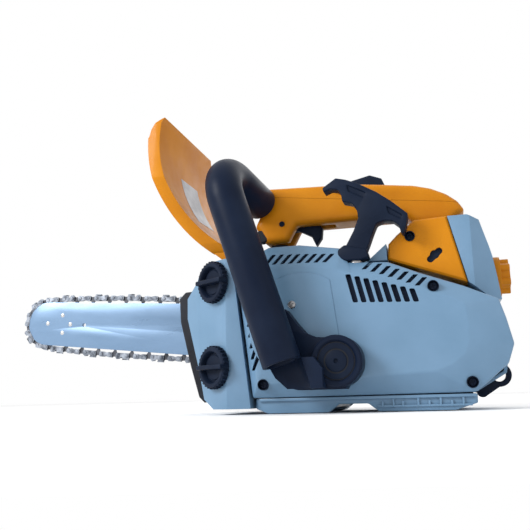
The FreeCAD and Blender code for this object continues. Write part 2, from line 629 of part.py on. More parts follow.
def starter_grip():
    """T-shaped grip on the end of the rope: a flared foot, a stem and a slanted bar."""
    foot = doc.addObject("Part::Cone", "grip_foot")
    tie(foot, Radius1="8", Radius2="6", Height="10")
    stem = rod("grip_stem", "Z", ("0", "0"), ("0", "38"), "6.5")
    bar = slab("grip_bar", "Y", [("-40", "33"), ("-43", "38"), ("-38", "48"), ("-12", "52"),
                                 ("26", "52"), ("32", "46"), ("31", "36"), ("8", "34"), ("-8", "34")],
               "-8", "8")
    dress(bar, "Fillet", "4", lambda edge: at("Y", -8)(edge) or at("Y", 8)(edge))
    turned = place(bar, "0", "0", "0", (0, 1, 0), "7")
    grip = fuse("starter_grip", foot, stem, turned)
    place(grip, "rope_x", "rope_y", "rope_z", (0, 1, 0), "pull_tilt")
    node("starter_grip", grip)


# ---- clutch and cutting gear --------------------------------------------------------------------

def clutch():
    """Hub with two shoes that swing out against the drum."""
    centre = ("0", "crank_z")
    span = ("drum_in + 1", "drum_out - 2.4")
    shoes = ring("shoe_ring", "Y", centre, span, "drum_r - 3.2", "14")
    parting = block("shoe_parting", ("-1", "1"), ("30", "50"), ("crank_z - 30", "crank_z + 30"))
    node("clutch_shoes", cut("clutch_shoes", shoes, parting))
    node("clutch_hub", ring("clutch_hub", "Y", centre, span, "13.8", "shaft_r"))


def clutch_drum():
    """Drum with the chain's drive sprocket on its outer side, running on the crankshaft."""
    centre = ("0", "crank_z")
    cup = rod("drum_cup", "Y", centre, ("drum_in", "drum_out"), "drum_r")
    room = rod("drum_room", "Y", centre, ("drum_in - 1", "drum_out - 2"), "drum_r - 2.5")
    bore = rod("drum_bore", "Y", centre, ("drum_in - 1", "bar_y + 9"), "shaft_r + running")
    node("clutch_drum", cut("clutch_drum", cup, room, bore))
    rims = rod("sprocket_rims", "Y", centre, ("drum_out", "bar_y + 3.4"), "rim_r")
    groove = ring("sprocket_groove", "Y", centre, ("bar_y - 1.2", "bar_y + 1.2"), "rim_r + 1", "11.2")
    bore_again = rod("sprocket_bore", "Y", centre, ("drum_out - 1", "bar_y + 9"), "shaft_r + running")
    node("drive_sprocket", cut("drive_sprocket", rims, groove, bore_again))
    node("sprocket_clip", ring("sprocket_clip", "Y", centre, ("bar_y + 3.8", "bar_y + 5"),
                               "9", "shaft_r"))


def brake_band():
    """Steel band round the clutch drum."""
    node("brake_band", ring("brake_band", "Y", ("0", "crank_z"), ("drum_in + 1", "drum_out - 1"),
                            "drum_r + 1.6", "drum_r + 0.6"))


def oil_pump():
    """Oil pump round the crankshaft between crankcase and clutch."""
    node("oil_pump", ring("oil_pump", "Y", ("0", "crank_z"), ("24.3", "31"), "20", "shaft_r + 1"))


def tangents(first, second):
    """Points where a line touches two circles on their left, going from the first to the second."""
    (x1, z1, r1), (x2, z2, r2) = first, second
    far = math.hypot(x2 - x1, z2 - z1)
    side = math.atan2(z2 - z1, x2 - x1) + math.acos((r1 - r2) / far)
    reach = Vector(math.cos(side), 0, math.sin(side))
    return Vector(x1, 0, z1) + reach * r1, Vector(x2, 0, z2) + reach * r2


def belt(circles, low, high):
    """Solid of the tight loop round some circles, listed clockwise."""
    count = len(circles)
    lines = [tangents(circles[n], circles[(n + 1) % count]) for n in range(count)]
    edges = []
    for n in range(count):
        start, end = lines[n - 1][1], lines[n][0]
        x, z, radius = circles[n]
        middle = (start + end) * 0.5 - Vector(x, 0, z)
        outward = lines[n - 1][1] - lines[n - 1][0]
        if middle.dot(outward) < 0:
            middle = -middle
        if start.distanceToPoint(end) > 0.001:
            crest = Vector(x, 0, z) + middle.normalize() * radius
            edges.append(Part.Arc(start, crest, end).toShape())
        edges.append(Part.LineSegment(*lines[n]).toShape())
    face = Part.Face(Part.Wire(edges))
    face.translate(Vector(0, low, 0))
    return face.extrude(Vector(0, high - low, 0))


def bar_circles(extra, with_sprocket):
    """Circles that the bar's edge and the chain run round, in the bar's own axes.

    The crankshaft is at (0, 0) and the nose towards -X; extra is the distance from the rail."""
    nose = (-SIZE["bar_reach"], 0, SIZE["bar_nose_r"] + extra)
    shoulder = 18
    root = -70
    rise = SIZE["bar_half"] - shoulder
    upper = (root, rise, shoulder + extra)
    lower = (root, -rise, shoulder + extra)
    if with_sprocket:
        return [nose, upper, (0, 0, SIZE["rim_r"] + 0.2 + extra), lower]
    tail = SIZE["rim_r"] + 10
    return [nose, upper, (-tail - 8, 6, 8), (-tail - 8, -6, 8), lower]


def bar_place(shape):
    """Turns a shape from the bar's own axes to its place on the saw."""
    turned = shape.copy()
    turned.rotate(Vector(0, 0, 0), Vector(0, 1, 0), SIZE["bar_tilt"])
    turned.translate(Vector(0, SIZE["bar_y"], SIZE["crank_z"]))
    return turned


def formed(name, shape):
    """A sub-part whose outline is worked out by a formula."""
    piece = doc.addObject("Part::Feature", name)
    piece.Shape = shape
    return node(name, piece)


def disc_at(x, z, radius, low, high):
    """A cylinder across the bar, in the bar's own axes."""
    return Part.makeCylinder(radius, high - low, Vector(x, low, z), Vector(0, 1, 0))


def guide_bar():
    """Bar with a groove all round, a slot for its studs and a sprocket in its nose."""
    half = SIZE["bar_thick"] / 2
    plate = belt(bar_circles(0, False), -half, half)
    groove = belt(bar_circles(1, False), -0.7, 0.7)
    groove = groove.cut(belt(bar_circles(-6, False)[:2] + [(-34, 4, 3), (-34, -4, 3)]
                             + bar_circles(-6, False)[-1:], -0.8, 0.8))
    nose_room = disc_at(-SIZE["bar_reach"], 0, SIZE["bar_nose_r"] - 2.5, -0.8, 0.8)
    slot_end = SIZE["stud_x"] + SIZE["stud_r"] + 3
    slot = Part.makeBox(34, 8, 8.2, Vector(slot_end - 34, -4, -4.1))
    sight = disc_at(-SIZE["bar_reach"] + 42, 0, 2, -4, 4)
    axle = disc_at(-SIZE["bar_reach"], 0, 4, -half, half)
    plate = plate.cut(groove).cut(nose_room).cut(slot).cut(sight)
    formed("guide_bar", bar_place(plate.fuse(axle)))
    star = disc_at(-SIZE["bar_reach"], 0, SIZE["bar_nose_r"] - 5.2, -0.6, 0.6)
    star = star.cut(disc_at(-SIZE["bar_reach"], 0, 4 + SIZE["running"], -1, 1))
    for number in range(9):
        turn = 2 * math.pi * number / 9
        reach = SIZE["bar_nose_r"] - 4
        x = -SIZE["bar_reach"] + reach * math.cos(turn)
        star = star.cut(disc_at(x, reach * math.sin(turn), 3.4, -1, 1))
    formed("nose_sprocket", bar_place(star))


def saw_chain():
    """Chain as one loop: straps on both sides of the drive links whose tangs run in the groove."""
    strap = SIZE["strap"]
    inner = belt(bar_circles(0.05, True), -2.1, 2.1)
    straps = belt(bar_circles(2 * strap, True), -2.1, 2.1).cut(inner)
    tangs = belt(bar_circles(strap, True), -0.6, 0.6).cut(belt(bar_circles(-2.6, True), -0.7, 0.7))
    formed("saw_chain", bar_place(straps.fuse(tangs).removeSplitter()))


def clutch_side():
    """Cover over clutch and bar root, its studs and nut, the bar's seat, spikes and catcher."""
    points = [("-72", "100"), ("-66", "107"), ("-20", "108"), ("24", "104"), ("36", "90"),
              ("36", "40"), ("24", "26"), ("-60", "28"), ("-72", "40")]
    shape = case("clutch_shell", points, "right_face + gap", "66", "5", "high")
    stud_way = rod("cover_stud_way", "Y", ("stud_x", "stud_z"), ("50", "70"), "stud_r + 0.2")
    chain_way = block("chain_way", ("-80", "-58"), ("40", "54"), ("38", "112"))
    pivot_way = block("pivot_way", ("-62", "-34"), ("40", "54"), ("104", "120"))
    node("clutch_cover", cut("clutch_cover", shape, stud_way, chain_way, pivot_way))


def bar_mount():
    """Studs that carry the bar, the nut outside the cover and the plate behind the bar."""
    stud = ("stud_x", "stud_z")
    node("bar_stud", rod("bar_stud", "Y", stud, ("36", "72"), "stud_r"))
    plate = block("seat_block", ("-66", "-34"), ("right_face + 0.6", "bar_y - 2.1"),
                  ("crank_z - 20", "crank_z + 30"))
    node("bar_plate", cut("bar_plate", plate, rod("seat_way", "Y", stud, ("30", "60"), "stud_r")))
    node("bar_nut", ring("bar_nut", "Y", stud, ("66.2", "72"), "7.5", "stud_r"))


def bumper_strip():
    """Upright black strip in front of the housing, beside the bar."""
    points = [("-105", "113"), ("-124", "112"), ("-130", "106"), ("-129", "84"), ("-119", "42"),
              ("-111", "14"), ("-106", "9"), ("-99", "10"), ("-90", "20"), ("-90", "36"),
              ("-100", "57"), ("-103", "84")]
    shape = slab("strip_block", "Y", points, "24", "right_face - 2")
    dress(shape, "Fillet", "2", lambda edge: at("Y", 24)(edge))
    lug = block("strip_lug", ("-110", "-98"), ("26", "right_face - 4"), ("84", "95"))
    node("bumper_strip", cut("bumper_strip", fuse("strip_whole", shape, lug),
                             front_room()))


def front_room():
    """The space that the front housing fills, with the gap that its neighbours keep."""
    points = [("-80", "130"), ("-89.3", "110"), ("nose_x - gap", "97"), ("nose_x - gap", "80"),
              ("-88.3", "37"), ("-82.3", "12"), ("-72", "3.7"), ("-60", "3.7"), ("-60", "130")]
    return slab("front_room", "Y", points, "0", "60")


# ---- handles and controls -----------------------------------------------------------------------

def front_tube():
    """Bent tube from the left of the top handle down to its bracket."""
    start = Vector(-36, -SIZE["handle_half"] - SIZE["wall"], 178)
    left = SIZE["tube_y"]
    knee, foot, bend = Vector(-53.5, left, 196), Vector(-3, left, 36), 27
    heading = (knee - start).normalize()
    down = (foot - knee).normalize()
    half = (-heading).getAngle(down) / 2
    run = bend / math.tan(half)
    into, away = knee - heading * run, knee + down * run
    crest = knee + (down - heading).normalize() * (bend / math.sin(half) - bend)
    path = Part.Wire([Part.LineSegment(start, into).toShape(), Part.Arc(into, crest, away).toShape(),
                      Part.LineSegment(away, foot).toShape()])
    rounds = [Part.Wire(Part.makeCircle(radius, start, heading))
              for radius in (SIZE["tube_r"], SIZE["tube_r"] - SIZE["tube_wall"])]
    outer, inner = [path.makePipeShell([item], True, False) for item in rounds]
    formed("front_tube", outer.cut(inner))


def tube_bracket():
    """Foot of the front tube: a plate with a socket, and a boss that is screwed to the engine."""
    points = [("-17", "36"), ("-10", "25"), ("-3", "19"), ("5", "17"), ("40", "17"), ("46", "30"),
              ("38", "54"), ("20", "55"), ("11", "59"), ("5", "66"), ("-3", "77"), ("-12", "66")]
    plate = slab("bracket_plate", "Y", points, "tube_y + tube_r + 0.6", "left_face - gap")
    boss = rod("bracket_boss", "Y", ("34", "37"), ("left_face - 18", "left_face - gap"), "boss_r")
    outline = [("-18", "40"), ("-11", "26"), ("-3", "18"), ("26", "18"), ("26", "32"), ("20", "40")]
    socket = slab("bracket_socket", "Y", outline, "tube_y", "left_face - 12")
    well = rod("boss_well", "Y", ("34", "37"), ("left_face - 24", "left_face - 8"), "boss_r - 5")
    screw = rod("boss_screw_way", "Y", ("34", "37"), ("left_face - 28", "left_face + 12"), "3")
    tube = doc.addObject("Part::Cylinder", "socket_tube")
    tie(tube, Radius="tube_r + 0.4", Height="120")
    place(tube, "11", "tube_y", "-12", (0, 1, 0), "0 - 16.3")
    whole = fuse("bracket_whole", plate, boss, socket)
    node("tube_bracket", cut("tube_bracket", whole, tube, well, screw))


def vibration_mounts():
    """Rubber buffers between the handles and the engine, in front and in the bracket's boss."""
    front = rod("buffer_front", "Z", ("-24", "0"), ("shoulder_z - 4.8", "142.8"), "8")
    top = block("handle_space", ("-60", "10"), ("-20", "20"), ("142.8", "160"))
    rubber = ring("boss_rubber", "Y", ("34", "37"), ("left_face - 18", "left_face - 8.3"), "boss_r - 5.3", "4")
    node("vibration_mounts", fuse("vibration_mounts", cut("buffer_trimmed", front, top), rubber))


def guard():
    """Front hand guard, which swings forward to set the chain brake."""
    centre = ("guard_x", "guard_z")
    span = ("guard_left - 4", "guard_right + 4")
    skin_r = "guard_r - guard_lip + guard_thick"
    sheet_of_guard = ring("guard_curve", "Y", centre, span, skin_r, "guard_r - guard_lip")
    rim = ring("guard_rim", "Y", centre, span, "guard_r", "guard_r - guard_lip + 1")
    front_view = [("guard_left", "guard_top - 8"), ("guard_left + 6", "guard_top"),
                  ("guard_right - 14", "guard_top"), ("guard_right", "guard_top - 16"),
                  ("guard_right", "195"), ("50", "150"), ("50", "132"), ("-42", "132"),
                  ("-48", "140"), ("guard_left", "195")]
    view = slab("guard_view", "X", front_view, "-150", "-40")
    dress(view, "Fillet", "5", along("X"))
    middle = [("guard_left + 3.5", "guard_top + 9"), ("guard_right - 3.5", "guard_top + 9"),
              ("guard_right - 3.5", "196"), ("46.5", "151"), ("46.5", "120"), ("-38.5", "120"),
              ("-38.5", "132"), ("-45", "142"), ("guard_left + 3.5", "196")]
    side_view = [("-125", "100"), ("-125", "guard_top - 27"), ("-118.5", "guard_top - 20"),
                 ("-116.5", "guard_top - 13.5"), ("-113", "guard_top - 8"), ("-108.5", "guard_top - 3.5"),
                 ("-103.5", "guard_top - 0.8"), ("-100", "guard_top"), ("-30", "guard_top"),
                 ("-30", "100")]
    lips = cut("guard_lips", rim, slab("guard_middle", "X", middle, "-160", "-30"))
    whole = fuse("guard_curved", sheet_of_guard, lips)
    side = slab("guard_side", "Y", side_view, "guard_left - 2", "guard_right + 2")
    plate = common("guard_plate", common("guard_seen", whole, view), side)
    arms = []
    for name, low, high in (("left", "arm_left", "arm_left + 6"), ("right", "right_face + 1", "50")):
        points = [("-81", "140"), ("-75", "145"), ("pivot_x + 6", "pivot_z + 4"),
                  ("pivot_x + 6", "pivot_z - 6"), ("pivot_x - 6", "pivot_z - 6")]
        arms.append(slab("guard_arm_" + name, "Y", points, low, high))
    clear = front_clearance()
    swing = [rod("arm_hole", "Y", ("pivot_x", "pivot_z"), ("-60", "60"), "pin_r + running")]
    node("hand_guard", cut("hand_guard", fuse("guard_whole", plate, *arms), clear, *swing))
    pins = [rod("pin_left", "Y", ("pivot_x", "pivot_z"), ("-43", "-19"), "pin_r"),
            rod("pin_right", "Y", ("pivot_x", "pivot_z"), ("29", "52"), "pin_r")]
    node("guard_pins", fuse("guard_pins", *pins))


def front_clearance():
    """Room round the pivots that the guard keeps clear of."""
    return block("guard_clearance", ("-90", "-40"), ("-35.7", "right_face + 0.7"), ("100", "131.5"))


def caps():
    """Fuel and oil caps, each with a raised bar across it and a knurled rim."""
    for name, height in (("fuel", "fuel_cap_z"), ("oil", "oil_cap_z")):
        disc = rod(name + "_cap_disc", "Z", ("0", "0"), ("3.5", "10"), "cap_r")
        plug = rod(name + "_cap_plug", "Z", ("0", "0"), ("-6", "3.5"), "cap_r - 7.2")
        across = block(name + "_cap_bar", ("-14", "14"), ("-2", "2"), ("9.5", "14"))
        cap = fuse(name + "_cap", disc, plug, across)
        node(name + "_cap", cap_place(cap, height))


def throttle():
    """Throttle trigger below the handle and lockout lever above it."""
    points = [("-6", "-6"), ("-6", "7"), ("14", "9"), ("28", "4"), ("33", "-3"), ("32", "-12"),
              ("27", "-19"), ("23", "-10"), ("12", "-4")]
    blade = slab("trigger_blade", "Y", points, "0 - lever_half", "lever_half")
    dress(blade, "Fillet", "2", lambda edge: at("Y", -SIZE["lever_half"])(edge)
          or at("Y", SIZE["lever_half"])(edge))
    hole = rod("trigger_bore", "Y", ("0", "0"), ("-10", "10"), "2 + running")
    trigger = cut("throttle_trigger", blade, hole)
    place(trigger, "trigger_x", "0", "trigger_z")
    node("throttle_trigger", trigger)
    points = [("-4", "-4"), ("-4", "4"), ("6", "14"), ("24", "18"), ("34", "14"), ("38", "4"),
              ("34", "-4")]
    blade = slab("lockout_blade", "Y", points, "0 - lever_half", "lever_half")
    dress(blade, "Fillet", "2", lambda edge: at("Y", -SIZE["lever_half"])(edge)
          or at("Y", SIZE["lever_half"])(edge))
    hole = rod("lockout_bore", "Y", ("0", "0"), ("-10", "10"), "1.5 + running")
    lockout = cut("throttle_lockout", blade, hole)
    place(lockout, "lockout_x", "0", "lockout_z")
    node("throttle_lockout", lockout)
    pins = [rod("trigger_pin", "Y", ("trigger_x", "trigger_z"), ("-16.5", "16.5"), "2"),
            rod("lockout_pin", "Y", ("lockout_x", "lockout_z"), ("-14", "14"), "1.5")]
    node("lever_pins", fuse("lever_pins", *pins))


def filter_knob():
    """Knob behind the filter cover with its bolt."""
    flange = rod("knob_flange", "X", ("0", "knob_z"), ("knob_x", "knob_x + 5"), "16")
    grip = rod("knob_grip", "X", ("0", "knob_z"), ("knob_x + 5", "knob_x + 12"), "11")
    lobes = []
    for number in range(6):
        turn = "%d" % (60 * number)
        lobe = rod("knob_lobe_%d" % number, "X",
                   ("11 * sin(%s)" % turn, "knob_z + 11 * cos(%s)" % turn),
                   ("knob_x + 5", "knob_x + 12"), "3")
        lobes.append(lobe)
    bolt = rod("knob_bolt", "X", ("0", "knob_z"), ("132", "knob_x + 1"), "3")
    node("filter_knob", fuse("filter_knob", flange, grip, bolt, *lobes))


def small_controls():
    """Stop switch at the left of the handle and choke lever at the side of the rear housing."""
    switch = block("stop_switch", ("-28", "-16"), ("handle_half + gap", "handle_half + 5"),
                   ("168", "175"))
    node("stop_switch", switch)
    stem = rod("choke_stem", "Y", ("100", "128"), ("33", "rear_half + 4"), "2.5")
    arm = block("choke_arm", ("98", "116"), ("rear_half + 1", "rear_half + 4"), ("126", "130"))
    node("choke_lever", fuse("choke_lever", stem, arm))


def lanyard_ring():
    """Black bracket with an eye for a climbing line at the rear."""
    points = [("123", "13"), ("131.4", "12"), ("134", "9.5"), ("139", "9.5"), ("149", "16"),
              ("151", "25"), ("149", "34"), ("141", "30"), ("137", "24"), ("123", "24")]
    shape = slab("ring_block", "Y", points, "-14", "-7")
    loop = rod("ring_loop", "Y", ("149", "25"), ("-14", "-7"), "9.2")
    foot = rod("ring_foot", "Y", ("136", "12.5"), ("-14", "-7"), "4.3")
    eye = rod("ring_eye", "Y", ("149", "25"), ("-20", "0"), "5.2")
    node("lanyard_ring", cut("lanyard_ring", fuse("ring_whole", shape, loop, foot), eye))


def screws():
    """Screws of the starter cover and of the rear housing."""
    heads = [rod("screw_%d" % n, "Y", spot, ("left_face - 1.2", "left_face + wall + 4"), "3")
             for n, spot in enumerate(COVER_SCREWS)]
    side = rod("housing_screw", "Y", ("90", "134"), ("0 - rear_half - 1", "0 - rear_half + 6"), "3")
    node("cover_screws", fuse("cover_screws", side, *heads))


PIECES = [front_housing, base_tray, starter_cover, rope_guide, engine_cowl, right_shroud, rear_housing,
          handles, filter_cover, crankcase, crankshaft, cylinder, piston, spark_plug, muffler, intake,
          flywheel, ignition_coil, starter_pulley, starter_grip, clutch, clutch_drum, brake_band,
          oil_pump, guide_bar, saw_chain, clutch_side, bar_mount, bumper_strip, front_tube,
          tube_bracket, vibration_mounts, guard, caps, throttle, filter_knob, small_controls,
          lanyard_ring, screws]


def check():
    """Stops before anything is written if an object failed or a sub-part has no sound solid."""
    for item in doc.Objects:
        if "Invalid" in item.State or "Error" in item.State:
            raise RuntimeError("%s failed: %s" % (item.Name, item.State))
    for item in nodes:
        if item.Shape.isNull() or not item.Shape.isValid() or not item.Shape.Solids:
            raise RuntimeError("%s has no sound solid" % item.Label)


def write():
    """Writes each sub-part to a file named after it."""
    os.makedirs("parts", exist_ok=True)
    for item in nodes:
        item.Shape.exportStep("parts/%s.step" % item.Label)


fill_sheet()
for piece in PIECES:
    piece()
doc.recompute()
check()
write()
print(len(nodes), "sub-parts written")
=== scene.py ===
import json
import math

import bpy
from mathutils import Matrix, Vector


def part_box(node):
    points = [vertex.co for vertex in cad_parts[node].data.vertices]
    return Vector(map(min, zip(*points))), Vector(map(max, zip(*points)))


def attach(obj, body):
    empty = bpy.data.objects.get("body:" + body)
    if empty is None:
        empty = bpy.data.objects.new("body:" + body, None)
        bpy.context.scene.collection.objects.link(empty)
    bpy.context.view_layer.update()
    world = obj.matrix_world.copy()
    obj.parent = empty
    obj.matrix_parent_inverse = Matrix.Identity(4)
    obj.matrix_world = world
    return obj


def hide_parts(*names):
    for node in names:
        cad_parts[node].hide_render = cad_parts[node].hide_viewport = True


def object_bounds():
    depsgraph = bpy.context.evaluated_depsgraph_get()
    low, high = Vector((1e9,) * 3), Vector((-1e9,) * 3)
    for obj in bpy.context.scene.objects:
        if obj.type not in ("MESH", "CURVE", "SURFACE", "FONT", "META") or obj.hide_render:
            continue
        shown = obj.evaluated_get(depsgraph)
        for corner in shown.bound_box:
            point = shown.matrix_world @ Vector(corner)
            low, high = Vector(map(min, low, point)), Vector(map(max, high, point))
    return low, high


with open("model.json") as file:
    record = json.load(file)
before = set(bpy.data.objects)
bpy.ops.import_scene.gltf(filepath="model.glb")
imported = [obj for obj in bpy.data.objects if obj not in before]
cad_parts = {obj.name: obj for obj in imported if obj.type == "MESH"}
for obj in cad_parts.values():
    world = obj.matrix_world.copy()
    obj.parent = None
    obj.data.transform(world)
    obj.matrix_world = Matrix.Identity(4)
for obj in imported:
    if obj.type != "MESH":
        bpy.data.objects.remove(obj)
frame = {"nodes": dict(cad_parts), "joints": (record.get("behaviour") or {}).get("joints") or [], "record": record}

MM = 0.001
LEFTWARD = (0, -1, 0)
VIEW_PLACE = (0.114, -0.5693, 0.013)
VIEW_TURN, VIEW_TILT, VIEW_ROLL = 15, 101, -1.5
LENS = 46
FACE_STEP = 9
COVER_WALL = 2.3
SLOT_MARGIN = 2
BOSS_FACE = -80
BOSS_FROM_REAR, BOSS_FROM_FOOT = 19, 20
GUARD_AXIS = Vector((-5.5, 0, 224.5))
GUARD_FACE_R = 103.3
LABEL_LOW, LABEL_HIGH = 166, 207
GRIP_STRETCH, GRIP_SHIFT = 0.94, -0.4
PITCH = 9.32
PLATE_IN, PLATE_OUT = 0.75, 1.95
DRIVE_HALF = 0.65
RIVET_TOP = 2.5
KNURLS = 30
PLEATS = 14
BAR_TAPER = 0.087
nodes = frame["nodes"]
frame_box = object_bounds()


# ---- finishes -------------------------------------------------------------------------------

def material(name, colour, roughness, metallic=0.0):
    """A new material with its plain values on the shader; returns it, its nodes, links, shader."""
    finish = bpy.data.materials.new(name)
    finish.use_nodes = True
    tree = finish.node_tree
    shader = tree.nodes["Principled BSDF"]
    shader.inputs["Base Color"].default_value = (*colour, 1)
    shader.inputs["Roughness"].default_value = roughness
    shader.inputs["Metallic"].default_value = metallic
    return finish, tree.nodes, tree.links, shader


def noise(tree_nodes, links, place, scale, detail, stretch=(1, 1, 1)):
    """A noise pattern on the object's own coordinates, drawn out along an axis if wanted."""
    mapping = tree_nodes.new("ShaderNodeMapping")
    mapping.inputs["Scale"].default_value = stretch
    links.new(place.outputs["Object"], mapping.inputs["Vector"])
    pattern = tree_nodes.new("ShaderNodeTexNoise")
    pattern.inputs["Scale"].default_value = scale
    pattern.inputs["Detail"].default_value = detail
    links.new(mapping.outputs["Vector"], pattern.inputs["Vector"])
    return pattern.outputs["Fac"]


def ramp(tree_nodes, links, source, low, high, start=0.35, end=0.65):
    """Spreads a pattern between two colours."""
    spread = tree_nodes.new("ShaderNodeValToRGB")
    spread.color_ramp.elements[0].position = start
    spread.color_ramp.elements[1].position = end
    spread.color_ramp.elements[0].color = (*low, 1)
    spread.color_ramp.elements[1].color = (*high, 1)
    links.new(source, spread.inputs["Fac"])
    return spread.outputs["Color"]


def span(tree_nodes, links, source, low, high):
    """Spreads a pattern between two numbers."""
    spread = tree_nodes.new("ShaderNodeMapRange")
    spread.inputs["From Min"].default_value = 0.3
    spread.inputs["From Max"].default_value = 0.7
    spread.inputs["To Min"].default_value = low
    spread.inputs["To Max"].default_value = high
    links.new(source, spread.inputs["Value"])
    return spread.outputs["Result"]


def finish_of(name, dark, light, rough, metallic, grain, depth, patch=28, coat=0.0, gloss=0.5,
              stretch=(1, 1, 1)):
    """A finish with patches of two close colours, uneven gloss and a fine grain."""
    finish, tree_nodes, links, shader = material(name, light, rough[0], metallic)
    place = tree_nodes.new("ShaderNodeTexCoord")
    patches = noise(tree_nodes, links, place, patch, 5, stretch)
    links.new(ramp(tree_nodes, links, patches, dark, light), shader.inputs["Base Color"])
    smears = noise(tree_nodes, links, place, patch * 3.1, 6, stretch)
    links.new(span(tree_nodes, links, smears, *rough), shader.inputs["Roughness"])
    grains = noise(tree_nodes, links, place, grain, 3, stretch)
    bump = tree_nodes.new("ShaderNodeBump")
    bump.inputs["Distance"].default_value = depth * MM
    bump.inputs["Strength"].default_value = 0.6
    links.new(grains, bump.inputs["Height"])
    links.new(bump.outputs["Normal"], shader.inputs["Normal"])
    shader.inputs["Specular IOR Level"].default_value = gloss
    shader.inputs["Coat Weight"].default_value = coat
    shader.inputs["Coat Roughness"].default_value = 0.12
    return finish


FINISHES = {
    "body_grey": finish_of("body_grey", (0.104, 0.198, 0.305), (0.122, 0.222, 0.34), (0.30, 0.42), 0.0,
                           900, 0.02, coat=0.15, gloss=0.35),
    "orange": finish_of("orange", (0.42, 0.145, 0.003), (0.48, 0.178, 0.005), (0.36, 0.48), 0.0,
                        900, 0.02, coat=0.04, gloss=0.1),
    "black_plastic": finish_of("black_plastic", (0.0035, 0.0075, 0.019), (0.007, 0.013, 0.029),
                               (0.42, 0.58), 0.0, 1600, 0.05, gloss=0.09),
    "black_rubber": finish_of("black_rubber", (0.012, 0.013, 0.017), (0.02, 0.022, 0.028),
                              (0.55, 0.72), 0.0, 1200, 0.06, gloss=0.14),
    "handle_tube": finish_of("handle_tube", (0.003, 0.007, 0.02), (0.006, 0.012, 0.029),
                             (0.36, 0.48), 0.0, 1400, 0.04, gloss=0.09),
    "bar_steel": finish_of("bar_steel", (0.125, 0.21, 0.33), (0.155, 0.25, 0.385), (0.26, 0.40), 0.3,
                           700, 0.01, stretch=(0.3, 1, 1)),
    "chain_steel": finish_of("chain_steel", (0.03, 0.032, 0.038), (0.09, 0.095, 0.11), (0.3, 0.5), 0.8,
                             600, 0.03, patch=120),
    "chain_bright": finish_of("chain_bright", (0.07, 0.08, 0.1), (0.3, 0.33, 0.38), (0.25, 0.45), 0.85,
                              600, 0.03, patch=150),
    "label_grey": finish_of("label_grey", (0.2, 0.2, 0.22), (0.34, 0.34, 0.36), (0.35, 0.5), 0.0,
                            700, 0.01, patch=40),
    "steel": finish_of("steel", (0.34, 0.34, 0.35), (0.5, 0.5, 0.5), (0.24, 0.4), 0.95, 700, 0.02),
    "cast_aluminium": finish_of("cast_aluminium", (0.42, 0.42, 0.42), (0.56, 0.56, 0.55), (0.42, 0.6),
                                0.85, 500, 0.12, patch=60),
    "muffler_steel": finish_of("muffler_steel", (0.05, 0.04, 0.035), (0.12, 0.1, 0.09), (0.5, 0.7), 0.6,
                               500, 0.08),
    "ceramic": finish_of("ceramic", (0.75, 0.74, 0.7), (0.85, 0.84, 0.8), (0.1, 0.2), 0.0, 500, 0.01),
    "filter_felt": finish_of("filter_felt", (0.6, 0.55, 0.42), (0.8, 0.76, 0.62), (0.85, 0.95), 0.0,
                             800, 0.3),
}


def dress_frame():
    """Gives every CAD node the finish of its slot."""
    for part in frame["record"]["subparts"]:
        node = nodes[part["node"]]
        node.data.materials.clear()
        node.data.materials.append(FINISHES[part["material_slot"]])


# ---- stage ----------------------------------------------------------------------------------

def camera():
    """The viewpoint: low, in front and to the left, looking slightly up."""
    lens = bpy.data.cameras.new("camera")
    lens.lens = LENS
    lens.sensor_width = 36
    viewer = bpy.data.objects.new("camera", lens)
    turn = Matrix.Rotation(math.radians(VIEW_TURN), 4, "Z")
    pitch = Matrix.Rotation(math.radians(VIEW_TILT), 4, "X")
    roll = Matrix.Rotation(math.radians(VIEW_ROLL), 4, "Z")
    viewer.matrix_world = Matrix.Translation(VIEW_PLACE) @ turn @ pitch @ roll
    bpy.context.scene.collection.objects.link(viewer)
    bpy.context.scene.camera = viewer


def lamp(name, place, target, size, power):
    """A square soft light that faces a point."""
    light = bpy.data.lights.new(name, "AREA")
    light.size = size
    light.energy = power
    holder = bpy.data.objects.new(name, light)
    holder.location = place
    holder.rotation_euler = (Vector(target) - Vector(place)).to_track_quat("-Z", "Y").to_euler()
    bpy.context.scene.collection.objects.link(holder)


def stage():
    """Pale floor, pale surroundings and soft lights."""
    bpy.ops.object.select_all(action="DESELECT")
    bpy.ops.mesh.primitive_plane_add(size=8, location=(0, 0, frame_box[0][2] - 0.0005))
    floor = bpy.context.object
    floor.name = "floor"
    pale, *_ = material("floor_pale", (0.92, 0.92, 0.92), 0.9)
    floor.data.materials.append(pale)
    world = bpy.data.worlds.new("surroundings")
    world.use_nodes = True
    sky = world.node_tree.nodes["Background"]
    sky.inputs["Color"].default_value = (1, 1, 1, 1)
    sky.inputs["Strength"].default_value = 1.0
    bpy.context.scene.world = world
    bpy.context.scene.view_settings.view_transform = "Standard"
    middle = (0, 0, 0.1)
    lamp("key", (-1.1, -1.1, 0.9), middle, 0.6, 26)
    lamp("fill", (1.1, -1.1, 0.9), middle, 1.0, 1.5)
    lamp("back", (0.2, 1.3, 1.2), middle, 1.2, 4)


# ---- hand tools -----------------------------------------------------------------------------

def choose(piece=None):
    """Leaves edit mode and selects one piece only."""
    if bpy.context.object and bpy.context.object.mode != "OBJECT":
        bpy.ops.object.mode_set(mode="OBJECT")
    bpy.ops.object.select_all(action="DESELECT")
    if piece:
        piece.select_set(True)
        bpy.context.view_layer.objects.active = piece


def edit(piece, kind="FACE"):
    """Opens a piece in edit mode with everything selected."""
    choose(piece)
    bpy.ops.object.mode_set(mode="EDIT")
    bpy.ops.mesh.select_mode(type=kind)
    bpy.ops.mesh.select_all(action="SELECT")


def close_edit():
    """Goes back to object mode."""
    bpy.ops.object.mode_set(mode="OBJECT")


